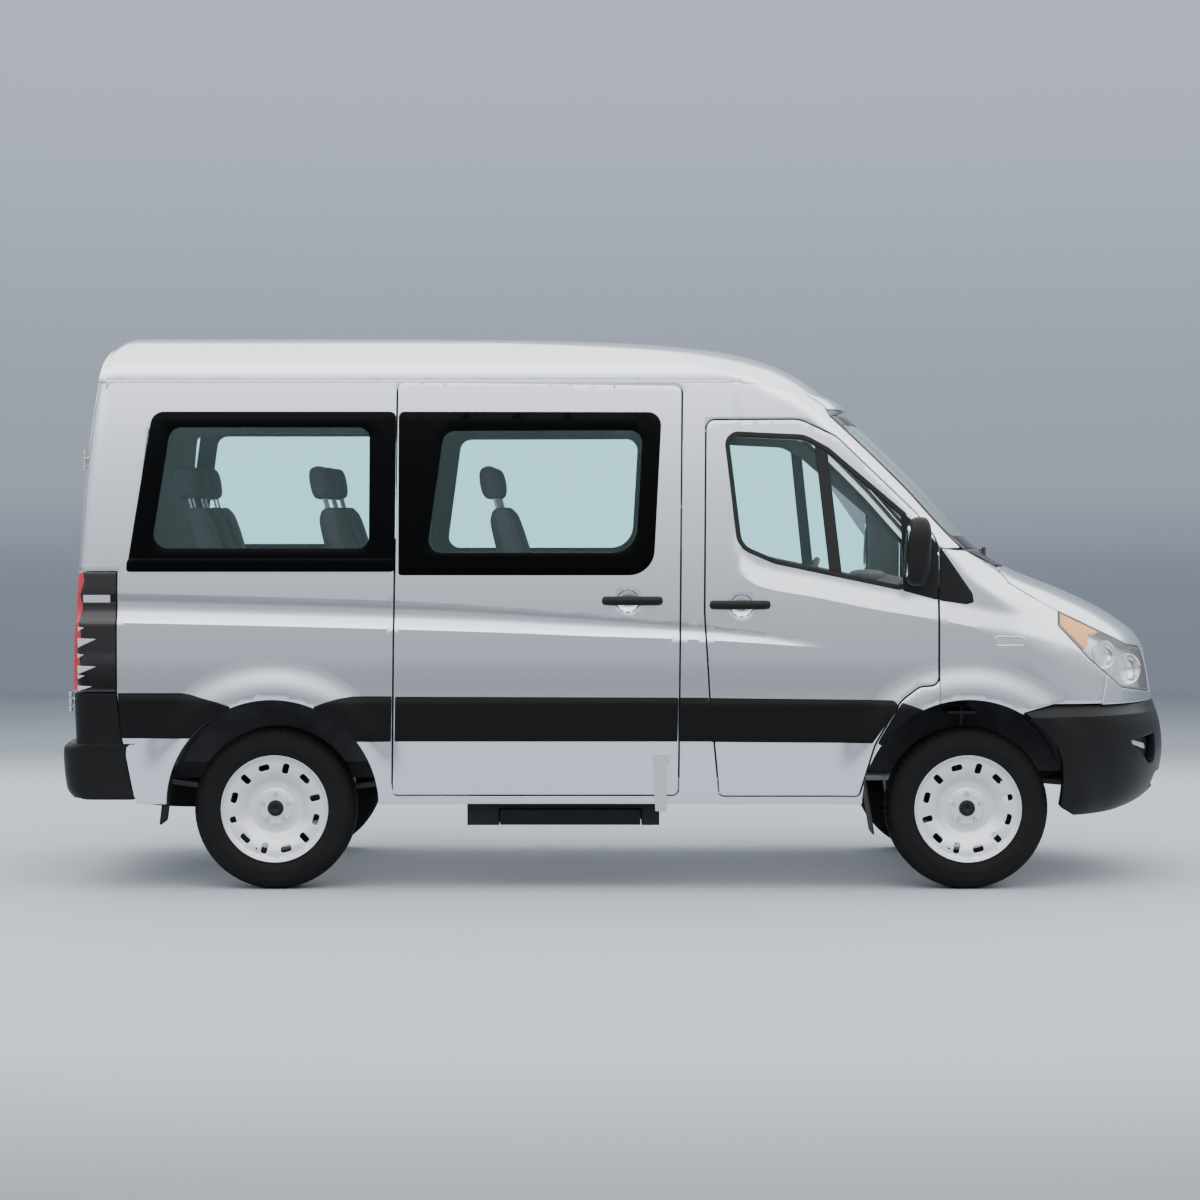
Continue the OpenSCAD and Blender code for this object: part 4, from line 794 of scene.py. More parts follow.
def mirrored(loop):
    return np.asarray(loop)[::-1] * np.array([-1, 1])


DOOR = rounded([[DOOR_REAR + 70, 442, 25], [DOOR_REAR + 25, 900, 700], [DOOR_REAR, 1300, 900],
                [DOOR_REAR + 8, 2204, 45], [DOOR_REAR + 450, 2206, 160], [DOOR_REAR + 620, 2125, 120],
                [DOOR_REAR + 991, 1767, 60], [DOOR_FRONT - 20, 1660, 30], [DOOR_FRONT, 1600, 20],
                [DOOR_FRONT, 964, 42], [DOOR_FRONT - 90, 958, 70], [DOOR_FRONT - 180, 890, 160],
                [DOOR_FRONT - 298, 688, 200], [DOOR_FRONT - 372, 442, 25]], 12)
DOOR_LIGHT = rounded([[477, 2134, 45], [835, 2117, 110], [940, 2060, 110], [1296, 1756, 12],
                      [1302, 1420, 25],
                      [700, 1546, 150], [540, 1615, 90]], 12)
SLIDER = rounded([[SLIDER_REAR - 22, 446, 30], [SLIDER_FRONT - 19, 446, 30], [SLIDER_FRONT, 2366, 40],
                  [SLIDER_REAR, 2384, 40]], 10)
QUARTER_HOLE = rounded([[PILLAR_X + 76, 1560, 90], [SLIDER_REAR - 60, 1560, 60],
                        [SLIDER_REAR - 60, 2190, 60],
                        [PILLAR_X + 150, 2190, 60]], 10)
QUARTER_CLEAR = rounded([[-2216, 1600, 70], [-1197, 1600, 55], [-1197, 2169, 55], [-2131, 2169, 60]], 12)
QUARTER_EDGE = rounded([[-2328, 1497, 30], [SLIDER_REAR - 10, 1497, 12], [SLIDER_REAR - 8, 2240, 26],
                        [-2215, 2240, 60]], 12)
SLIDER_HOLE = rounded([[SLIDER_REAR + 60, 1560, 60], [SLIDER_FRONT - 153, 1560, 110],
                       [SLIDER_FRONT - 107, 2190, 60],
                       [SLIDER_REAR + 60, 2190, 60]], 10)
SLIDER_CLEAR = rounded([[-930, 1580, 60], [50, 1580, 120], [82, 2155, 60], [-850, 2152, 60]], 12)
SLIDER_EDGE = rounded([[SLIDER_REAR + 10, 1478, 12], [128, 1478, 120], [168, 2238, 60],
                       [SLIDER_REAR + 8, 2240, 26]], 12)
BOWL_R = 55.0
CAB_BOWL = (541, 1335)
SLIDER_BOWL = (10, 1356)
WING_TOP = [(DOOR_FRONT, 1600), (1595, 1592), (1754, 1516), (1796, 1441), (1905, 1375), (2033, 1307)]
LAMP_SIDE = rounded([[2033, 1307, 0], [2027, 1240, 22], [2175, 1085, 60], [2355, 940, 0]], 8)
LAMP = np.concatenate([turned(LAMP_SIDE), [(344, 905), (338, 1000), (344, 1112)],
                       turned([(2396, 1139), (2033, 1307)])[:-1]])
REAR_ARCH = circle(REAR_AXLE - 5, ARCH_Z, ARCH_R)
FRONT_ARCH = circle(FRONT_AXLE - 5, ARCH_Z, ARCH_R)
REAR_LIGHT = rounded([[150, 1560, 50], [745, 1560, 60], [705, 2175, 60], [150, 2175, 50]], 10)
REAR_FRIT = rounded([[60, 1505, 30], [800, 1505, 60], [742, 2236, 60], [60, 2236, 30]], 10)
CREASES = [z_line(-2372, 980, lambda x: crease_z(x) + hollow_z(x), 140),
           z_line(-2372, 980, lambda x: crease_z(x) - shelf_z(x), 140), z_line(552, 1640, cab_crease_z, 44),
           circle(REAR_AXLE - 5, ARCH_Z, ARCH_R + LIP, -6, 186, 90),
           circle(FRONT_AXLE - 5, ARCH_Z, ARCH_R + LIP, -6, 186, 90)]


def rear_edge(z):
    """Half width of the rear doors' outer edge."""
    return outer_half(PILLAR_X, np.minimum(z, GUTTER_Z)) - TAIL_ROUND - 6


def shell_outline():
    """The body side's outline: bumper seam, sill, front pillar, roof seam and the rear corner."""
    rise = np.linspace(SCREEN_LOW + 8, SCREEN_TOP, 30)
    pillar = [(float(corner_x(z)) + 100, float(z)) for z in rise]
    seam = [(float(x), float(roof_edge(x))) for x in np.linspace(pillar[-1][0], 505, 26)[1:]]
    back = [(float(tail_x(z)) - 40, float(z)) for z in np.linspace(GUTTER_Z, 1495, 30)]
    return ([(-2292, SILL_Z), (DOOR_FRONT + 4, SILL_Z),
             (DOOR_FRONT + 4, SCREEN_LOW + 4)] + pillar + seam + back
            + [(-2372, 1495), (-2372, 926), (-2350, 712), (-2298, 429)])


def skin_materials(inner="cabin_lining"):
    return [bpy.data.materials["body_paint"], bpy.data.materials[inner]]


def mats(*names):
    return [bpy.data.materials[name] for name in names]


def make_body_side(side, label):
    cut = GAP / 2 + EDGE_R
    holes = [grow(DOOR, cut), REAR_ARCH, FRONT_ARCH, QUARTER_HOLE]
    holes.append(grow(SLIDER, cut) if side < 0 else SLIDER_HOLE)
    shell = panel(f"side_panel_{label}", [grow(shell_outline(), -EDGE_R - 1)], holes, side_place(side),
                  skin_materials(), lines=CREASES)
    settle(shell, "body", "body_paint", f"body_side_{label}")


def make_window(side, label, body, edge, clear, hole):
    """One bonded pane: a dark band round it that lies on the panel, and the clear glass inside the band."""
    band = panel(f"{body}_band_{label}", [edge], [clear], side_place(side, 3.6),
                 mats("gloss_black", "gloss_black"),
                 depth=3.5, edge_r=1.6, step=(60, 40), lines=())
    pane = panel(f"{body}_pane_{label}", [grow(clear, -0.3)], [], side_place(side, 3.4),
                 mats("tinted_glass", "tinted_glass"),
                 depth=4.6, edge_r=0.0, step=(60, 40))
    return band, pane


def make_roof():
    place, length = roof_place()
    rim = [(4, -846), (length - 4, -846), (length - 4, 846), (4, 846)]
    shell = panel("roof_panel", [rim], [], place, skin_materials("roof_lining"), depth=45, step=(30, 24),
                  edge_step=16)
    y = np.linspace(-850, 850, 61)
    edge = place(np.full(61, 3.0), y)
    half = float(rear_edge(2364)) + 6
    band = np.concatenate([edge[:, 1:] - [0, 5], [(half, 2372), (-half, 2372)]])
    opening = rounded([[-half, 2300, 0], [half, 2300, 0], [half, 2370, 0], [half - 46, 2480, 50],
                       [0, 2512, 1600],
                       [46 - half, 2480, 50], [-half, 2370, 0]], 10)

    def header(u, v):
        return np.stack([tail_x(v) - 14 * (1 - (u / 1000) ** 2) + 9 + 0.06 * np.clip(v - 2480, 0, None), u,
                         v], -1)
    back = panel("roof_header", [band], [grow(opening, 2)], header, skin_materials(), depth=40,
                 inward=(0, 0, 1500))
    settle(shell, "body", "body_paint", "roof")
    settle(back, "body", "body_paint")


def make_cab_door(side, label):
    """A cab door: panel, window seal, pane with its divider, and sail; its moulding is made with the trim."""
    body = f"door_{label}"
    door = panel(f"{body}_panel", [grow(DOOR, -GAP / 2 - EDGE_R)],
                 [DOOR_LIGHT, circle(*CAB_BOWL, BOWL_R + 2, count=48)],
                 side_place(side), skin_materials(),
                 lines=CREASES)
    seal = panel(f"{body}_seal", [grow(DOOR_LIGHT, 16)], [grow(DOOR_LIGHT, -3)], side_place(side, 3.5),
                 mats("rubber", "rubber"),
                 depth=14, edge_r=1.8, edge_step=12, step=(40, 30))
    pane = panel(f"{body}_pane", [grow(DOOR_LIGHT, -1)], [], side_place(side, -7),
                 mats("tinted_glass", "tinted_glass"),
                 depth=4.5, edge_r=0, step=(60, 40))
    bar = panel(f"{body}_divider", [[(886, 2096), (943, 2053), (1007, 1484), (952, 1496)]], [],
                side_place(side, -0.5),
                mats("rubber", "rubber"), depth=12, edge_r=2)
    sail = panel(f"{body}_sail", [rounded([[1288, 1771, 5], [1424, 1660, 10], [1455, 1612, 8],
        [1455, 1364, 5],
                                           [1298, 1406, 6]])], [], side_place(side, 6),
                                           mats("black_plastic", "black_plastic"),
                 depth=6, edge_r=2.5)
    settle(door, body, "body_paint", f"door_{label}")
    settle(seal, body, "black_plastic")
    settle(pane, body, "glass", f"door_glass_{label}")
    settle(bar, body, "black_plastic")
    settle(sail, body, "black_plastic")


def make_slider():
    leaf = panel("slider_panel", [grow(SLIDER, -GAP / 2 - EDGE_R)],
                 [SLIDER_HOLE, circle(*SLIDER_BOWL, BOWL_R + 2, count=48)],
                 side_place(-1), skin_materials(),
                 lines=CREASES)
    settle(leaf, "body", "body_paint", "sliding_door")


def make_wing(side, label):
    low = [(2265, 1110), (2265, 1004), (2238, 874), (1999, 877), (1857, 838), (1800, 700),
           (DOOR_FRONT + 7, 700)]
    outline = [(DOOR_FRONT + 7, 1597)] + [(x, z - 4) for x, z in WING_TOP[1:]] + [(2060, 1290)] + low
    wing = panel(f"wing_{label}", [outline], [FRONT_ARCH, grow(lamp_side(), 5)], side_place(side),
                 skin_materials("dark_metal"), depth=SKIN, lines=CREASES[2:])
    corner = panel(f"wing_corner_{label}", [[(1469, 1607), (1617, 1391), (1623, 1352), (1589, 1343),
        (1469, 1361)]], [],
                   side_place(side, 5), mats("black_plastic", "black_plastic"), depth=5, edge_r=2.5)
    settle(corner, "body", "black_plastic")
    return wing


def lamp_side():
    """The lamp's outline in the side view."""
    return np.concatenate([LAMP_SIDE, [(2645, 905), (2690, 1112), (2396, 1139)]])


def bonnet_rear():
    """The bonnet's rear edge in the nose's coordinates: where the nose meets the curve of the cowl's gap."""
    y = np.linspace(0, 718, 30)
    line = curve([[0, 1868], [300, 1850], [560, 1804], [720, 1754]])(y)
    low, high = np.full(30, 1394.0), np.full(30, 1596.0)
    for _ in range(24):
        mid = (low + high) / 2
        ahead = front_at(y, mid) > line
        low, high = np.where(ahead, mid, low), np.where(ahead, high, mid)
    turn = np.degrees(np.arcsin(np.clip(y / wall_half(corner_x(low), low), 0, 1) ** (ROUND_P / 2)))
    return np.stack([turn * TURN_MM, low], -1)


def make_nose_panels():
    """Wings, bonnet, cowl, the panel between the lamps, the bumper and the windscreen."""
    rear = bonnet_rear()
    flank = turned([(2396, 1139), (2033, 1307), (1905, 1375), (1796, 1441), (1754, 1512)])
    half = np.concatenate([[(0, 1118), (344, 1118)], flank, rear[::-1][1:]])
    whole = np.concatenate([half, mirrored(half)[:-1]])
    bonnet = panel("bonnet_panel", [grow(whole, -EDGE_R - 3.5)], [], nose_place(),
                   skin_materials("dark_metal"),
                   depth=12, step=(24, 14), edge_step=12)
    settle(bonnet, "bonnet", "body_paint", "bonnet")
    wings = [make_wing(side, label) for label, side in SIDES.items()]
    for wing, label in zip(wings, SIDES):
        settle(wing, "body", "body_paint")
    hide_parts("wings")
    side_line = turned([(1754, 1516), (1680, 1557), (1597, 1590)])
    cowl = np.concatenate([rear, side_line, [(0, SCREEN_LOW - 2)]])
    cowl = np.concatenate([cowl, mirrored(cowl)[1:-1]])
    apron = panel("cowl_panel", [grow(cowl, -3.5)], [], nose_place(-1), mats("black_plastic", "dark_metal"),
                  depth=8,
                  step=(30, 14))
    settle(apron, "body", "black_plastic")
    opening = rounded([[-296, 886, 26], [296, 886, 26], [310, 1074, 26], [-310, 1074, 26]])
    cap = [(0, 1112), (344, 1112), (738, 1112)] + [tuple(p) for p in turned([(2269, 1080), (2269, 1004),
        (2242, 866)])]
    cap = np.array(cap + [(0, 864)])
    cap = np.concatenate([cap, mirrored(cap)[1:-1]])
    face = panel("nose_cap", [grow(cap, -EDGE_R)], [grow(LAMP, 5), grow(mirrored(LAMP), 5), opening],
                 nose_place(),
                 skin_materials("dark_metal"), depth=SKIN, step=(20, 14))
    settle(face, "body", "body_paint", "grille")
    for z in (905, 950, 995, 1040):
        slat = panel(f"grille_slat_{z}", [[(-302, z), (302, z), (302, z + 16), (-302, z + 16)]], [],
                     nose_place(-14),
                     mats("black_plastic", "black_plastic"), depth=40, edge_r=3)
        settle(slat, "body", "black_plastic")
    bumper = [(0, 858)] + [tuple(p) for p in turned([(2240, 864), (2007, 872), (1864, 835), (1930, 776),
        (1981, 721),
                                                     (2020, 667), (2041, 600), (2045, 520), (2041, 460),
                                                     (2034, 391), (2100, 352)])]
    bumper = np.array(bumper + [(0, 349)])
    bumper = np.concatenate([bumper, mirrored(bumper)[1:-1]])
    fog = rounded([[500, 572, 20], [580, 566, 24], [775, 676, 14], [770, 694, 14], [480, 716, 22]])
    intake = rounded([[-440, 432, 26], [440, 432, 26], [440, 518, 30], [-440, 518, 30]])

    def proud(u, z):
        return (10 - 0.5 * np.clip(z - 812, 0, None)) * ease((np.abs(u) - 300) / 500)
    band = [(u, 812.0) for u in np.linspace(-1500, 1500, 110)]
    guard = panel("front_bumper_skin", [grow(bumper, -EDGE_R)], [fog, mirrored(fog), intake],
                  raised(nose_place(), proud),
                  mats("bumper_plastic", "black_plastic"), depth=34, step=(22, 16), lines=[band])
    settle(guard, "body", "black_plastic", "front_bumper")
    for label, side in SIDES.items():
        back = grow(fog, 6) if side > 0 else mirrored(grow(fog, 6))
        bowl = panel(f"fog_recess_{label}", [back], [], nose_place(-36),
                     mats("black_plastic", "black_plastic"), depth=8)
        settle(bowl, "body", "black_plastic")
        ray = np.array([(596, 640), (750, 676), (744, 692), (596, 664)])
        slat = panel(f"fog_slat_{label}", [ray if side > 0 else mirrored(ray)], [], nose_place(-16),
                     mats("bright_metal", "bright_metal"), depth=14, edge_r=1)
        settle(slat, "body", "lamp")
    low = [(-920, SCREEN_LOW + 62), (920, SCREEN_LOW + 62), (930, SCREEN_TOP - 42), (-930, SCREEN_TOP - 42)]
    clear = rounded([[*p, 60] for p in low], 10)
    screen = [(-974, SCREEN_LOW + 4), (974, SCREEN_LOW + 4), (974, SCREEN_TOP - 5), (-974, SCREEN_TOP - 5)]
    band = panel("windscreen_band", [rounded([[*p, 16] for p in screen])], [clear], nose_place(0.5),
                 mats("gloss_black", "gloss_black"), depth=7, edge_r=1.5, step=(24, 40))
    pane = panel("windscreen_pane", [grow(clear, -0.4)], [], nose_place(0.3),
                 mats("screen_glass", "screen_glass"),
                 depth=6, edge_r=0, step=(24, 40))
    settle(band, "body", "glass")
    settle(pane, "body", "glass", "windscreen")


def make_lamps(side, label):
    """A headlamp: clear cover, dark housing with a ledge, two bowls and an amber corner; the tail lamp is made
    apart."""
    outline = LAMP if side > 0 else mirrored(LAMP)
    cover = panel(f"headlamp_cover_{label}", [grow(outline, -EDGE_R)], [], nose_place(),
                  mats("clear_lens", "clear_lens"),
                  depth=4, step=(18, 14))
    settle(cover, "body", "lamp")
    housing = panel(f"headlamp_housing_{label}", [grow(outline, -3)], [], nose_place(-46),
                    mats("lamp_housing", "black_plastic"),
                    depth=20, step=(18, 14))
    settle(housing, "body", "lamp")
    rim = panel(f"headlamp_rim_{label}", [grow(outline, -1)], [grow(outline, -7)], nose_place(-4.5),
                mats("black_plastic", "black_plastic"), depth=42, edge_r=2, step=(18, 14))
    settle(rim, "body", "lamp")
    corner = turned([(2046, 1296), (2041, 1244), (2158, 1128), (2176, 1150), (2178, 1196), (2262, 1208),
                     (2240, 1226),
                     (2046, 1296)])[:-1]
    corner = corner if side > 0 else mirrored(corner)
    amber = panel(f"indicator_{label}", [corner], [], nose_place(-7), mats("amber_lens", "amber_lens"),
                  depth=34, edge_r=1)
    settle(amber, "body", "lamp")
    for number, (u, z, r) in enumerate(((800, 1098, 60), (585, 1022, 68))):
        facing = nose_place(-42)(np.array([u * side * 1.0]), np.array([z * 1.0]))[0]
        profile = [(2, -34), (r * 0.5, -28), (r * 0.85, -8), (r, 14), (r + 6, 16), (r + 6, 8),
                   (r * 0.9, -14), (2, -44)]
        made = revolve(f"lamp_bowl_{label}_{number}", profile, (0, 0, 0), mats("chrome"), steps=48)
        turn = math.radians(side * (90 - u / TURN_MM * 0.55) if side > 0 else -(90 - u / TURN_MM * 0.55))
        spin_place(made, facing, turn)
        settle(made, "body", "lamp")


def spin_place(made, centre, turn):
    """A revolved piece, made about +Y at the origin, turned about the upright so that it faces turn,
    then moved."""
    mesh = made.data
    co = np.zeros(3 * len(mesh.vertices), np.float32)
    mesh.vertices.foreach_get("co", co)
    co = co.reshape(-1, 3)
    c, s = math.cos(turn - math.pi / 2), math.sin(turn - math.pi / 2)
    x, y = co[:, 0] * c - co[:, 1] * s, co[:, 0] * s + co[:, 1] * c
    co = np.stack([x, y, co[:, 2]], -1) + np.array(centre) * MM
    mesh.vertices.foreach_set("co", co.astype(np.float32).ravel())
    mesh.update()


def bumper_place(out=0.0):
    """Places on the rear bumper: u runs round it in millimetres from the middle, along the back, round a tight
    corner and forwards; z is the height."""
    face = curve([[430, 45], [470, 15], [560, 3], [632, 0], [676, 5], [688, 22]])
    radius, flat = 110.0, 872.0

    def place(u, z):
        turn = np.clip((np.abs(u) - flat) / radius, 0, math.pi / 2)
        ahead = np.clip(np.abs(u) - flat - radius * math.pi / 2, 0, None)
        bow = 14 * np.clip(np.abs(u) / flat, 0, 1) ** 2
        x = REAR_X + face(z) + bow + radius * (1 - np.cos(turn)) + ahead - out * np.cos(turn)
        wide = (np.minimum(np.abs(u), flat) + radius * np.sin(turn)) / (flat + radius)
        half = outer_half(PILLAR_X + 60, z) + 3
        return np.stack([x, np.sign(u) * (half * wide + out * np.sin(turn)), z + 0 * u], -1)
    return place


def make_rear_bumper():
    band = np.array([(-1240, 432), (1240, 432), (1240, 687), (-1240, 687)])
    plate = rounded([[-272, 496, 12], [272, 496, 12], [272, 614, 12], [-272, 614, 12]])
    skin = panel("rear_bumper_skin", [band], [plate], bumper_place(),
                 mats("bumper_plastic", "black_plastic"), depth=30,
                 step=(16, 16), inward=(-2300, 0, 560))
    settle(skin, "body", "black_plastic", "rear_bumper")
    recess = panel("rear_plate_recess", [grow(plate, 8)], [], bumper_place(-16),
                   mats("black_plastic", "black_plastic"),
                   depth=10, inward=(-2300, 0, 560))
    settle(recess, "body", "black_plastic")
    start = PILLAR_X + 60
    along = np.linspace(-1240, 1240, 125)
    rim = bumper_place(-2)(along, 687 + 0 * along)[:, :2]
    ledge = panel("rear_bumper_ledge", [np.concatenate([rim,
        [(start + 30, rim[-1, 1]), (start + 30, rim[0, 1])]])],
                  [[(-2500, -850), (-2200, -850), (-2200, 850), (-2500, 850)]], flat_place("z", 690),
                  mats("bumper_plastic", "black_plastic"), depth=4, edge_r=2, inward=(-2500, 0, 0))
    ribs = [panel(f"rib_{k}", [[(-2618 + 22 * k, -700), (-2608 + 22 * k, -700), (-2608 + 22 * k, 700),
        (-2618 + 22 * k, 700)]],
                  [], flat_place("z", 692.4), mats("bumper_plastic", "black_plastic"), depth=3, edge_r=2,
                  inward=(-2500, 0, 0))
            for k in range(3)]
    settle(join("rear_bumper_top", [ledge] + ribs), "body", "black_plastic")
    for label, side in SIDES.items():
        corner = [(float(tail_x(z)) - 38, float(z)) for z in (926, 850, 770, 690, 600, 500, 425)]
        corner = corner + [(-2300, 425), (-2352, 708), (-2376, 926)]
        cover = panel(f"bumper_corner_{label}", [grow(corner, -EDGE_R)], [], side_place(side),
                      mats("bumper_plastic", "black_plastic"),
                      depth=40, step=(18, 16))
        settle(cover, "body", "black_plastic")


def make_rear_door(side, label):
    """A rear door: leaf, pane with its dark band, hinge straps and, on the left leaf, the handle."""
    body = f"rear_door_{label}"
    heights = np.linspace(730, GUTTER_Z - 30, 24)
    edge = [(float(rear_edge(z)) - 2, float(z)) for z in heights]
    leaf = [(4, 708), (float(rear_edge(708)) - 22, 708)] + edge + [(float(rear_edge(GUTTER_Z)) - 18, 2430),
            (float(rear_edge(GUTTER_Z)) - 62, 2467), (420, 2485), (4, 2496)]
    door = panel(f"{body}_panel", [grow(leaf, -EDGE_R)], [REAR_LIGHT], tail_place(side), skin_materials(),
                 depth=50,
                 inward=(0, side * 400, 1500))
    settle(door, body, "body_paint", body)
    band = panel(f"{body}_band", [REAR_FRIT], [grow(REAR_LIGHT, -14)], tail_place(side, 3.6),
                 mats("gloss_black", "gloss_black"),
                 depth=3.5, edge_r=1.5, step=(60, 40), inward=(0, side * 400, 1500))
    pane = panel(f"{body}_pane", [grow(REAR_LIGHT, -14.4)], [], tail_place(side, 3.4),
                 mats("tinted_glass", "tinted_glass"),
                 depth=4.6, edge_r=0, step=(60, 40), inward=(0, side * 400, 1500))
    settle(band, body, "glass")
    settle(pane, body, "glass", f"rear_glass_{label}")
    swell = panel(f"{body}_swell", [rounded([[70, 1150, 50], [740, 1150, 60], [770, 1400, 60],
        [70, 1400, 50]])], [],
                  tail_place(side, 3), mats("body_paint", "body_paint"), depth=3, edge_r=2.5,
                  inward=(0, side * 400, 1500))
    settle(swell, body, "body_paint")
    for name, z in (("low", 883), ("high", 2013)):
        y = float(rear_edge(z)) + 6
        at = (float(tail_x(z)) - 19, side * y, z)
        knuckle = revolve_upright(f"{body}_{name}_knuckle",
            [(0.5, -16), (8.6, -16), (9.4, -15), (9.4, 15), (8.6, 16), (0.5, 16)],
                                    at, mats("bright_metal"))
        strap = panel(f"{body}_{name}_strap", [rounded([[y - 150, z - 26, 12], [y - 45, z - 14, 3],
            [y - 12, z - 14, 3], [y - 12, z + 14, 3],
                                                         [y - 45, z + 14, 3], [y - 150, z + 26, 12]])],
                      [], tail_place(side, 9), mats("bright_metal", "bright_metal"), depth=9, edge_r=2,
                      inward=(0, side * 400, 1500))
        settle(join(f"{body}_hinge_{name}", [knuckle, strap]), body, "wheel")
        fixed = [revolve_upright(f"{body}_{name}_{k}",
            [(0.5, z0), (8.6, z0), (9.4, z0 + 1), (9.4, z1 - 1), (8.6, z1), (0.5, z1)],
                                 at, mats("bright_metal")) for k,
                                 (z0, z1) in enumerate(((-45, -24), (24, 45)))]
        settle(join(f"rear_hinge_post_{label}_{name}", fixed), "body", "wheel")
    if side > 0:
        pull = panel("rear_handle", [rounded([[20, 1000, 14], [96, 1000, 14], [96, 1190, 14],
            [20, 1190, 14]])], [],
                     tail_place(side, 18), mats("black_plastic", "black_plastic"), depth=18, edge_r=6,
                     inward=(0, 400, 1100))
        settle(pull, body, "black_plastic")
        plate = panel("rear_plate", [rounded([[180, 800, 8], [700, 800, 8], [700, 912, 8], [180, 912, 8]])],
                      [],
                      tail_place(side, 5), mats("plate_white", "black_plastic"), depth=5, edge_r=1,
                      inward=(0, 400, 1100))
        settle(plate, body, "black_plastic")


def revolve_upright(name, profile, centre, materials, steps=24):
    """A profile of (radius, height) turned about an upright line."""
    profile = np.asarray(profile, float)
    turn = np.linspace(0, 2 * math.pi, steps, endpoint=False)[None, :]
    grid = np.stack([centre[0] + profile[:, :1] * np.cos(turn), centre[1] + profile[:, :1] * np.sin(turn),
                     centre[2] + np.repeat(profile[:, 1:2], steps, 1)], -1)
    grid = np.concatenate([grid, grid[:1]])
    return grid_mesh(name, grid, materials, around=True)


def make_tail_lamp(side, label):
    """The tall tail lamp: a red rear edge and a smoked side with grey marks, on a dark carrier."""
    rear = [(float(tail_x(z)) - 38, float(z)) for z in np.linspace(1490, 934, 24)]
    split = [(float(tail_x(z)) + 26 + 9 * math.sin(z / 20.5), float(z)) for z in np.linspace(934, 1490, 60)]
    zones = [("red_lens", rear + split, "edge"),
             ("smoked_lens", [(u + 2.4, z) for u, z in split[::-1]] + [(PILLAR_X + 6, 934),
                 (PILLAR_X + 6, 1490)], "side")]
    for material, outline, name in zones:
        lens = panel(f"tail_lamp_{name}_{label}", [grow(outline, -1)], [], side_place(side, 3),
                     mats(material, "black_plastic"),
                     depth=26, edge_r=1.2, step=(12, 12), edge_step=10)
        settle(lens, "body", "lamp")
    marks = [[(-2530, 1384), (-2405, 1384), (-2405, 1350), (-2530, 1350)]]
    for z, tall, long in ((1183, 44, 92), (1055, 40, 92), (962, 26, 74), (1236, 22, 36), (1110, 20, 36),
                          (1012, 20, 40)):
        marks.append([(-2560, z), (-2560 + long, z - 3), (-2556, z - tall)])
    parts = [panel(f"tail_mark_{k}_{label}", [mark], [], side_place(side, 3.9),
                   mats("grey_lens", "grey_lens"), depth=1, edge_r=0.3,
                   step=(12, 12)) for k, mark in enumerate(marks)]
    settle(join(f"tail_lamp_marks_{label}", parts), "body", "lamp")
    edge = [(float(tail_x(z)) - 36, float(z)) for z in np.linspace(1490, 934, 10)]
    back = panel(f"tail_lamp_carrier_{label}", [edge + [(PILLAR_X + 5, 934), (PILLAR_X + 5, 1490)]], [],
                 side_place(side, -24),
                 mats("lamp_housing", "black_plastic"), depth=24, step=(20, 20))
    settle(back, "body", "lamp")


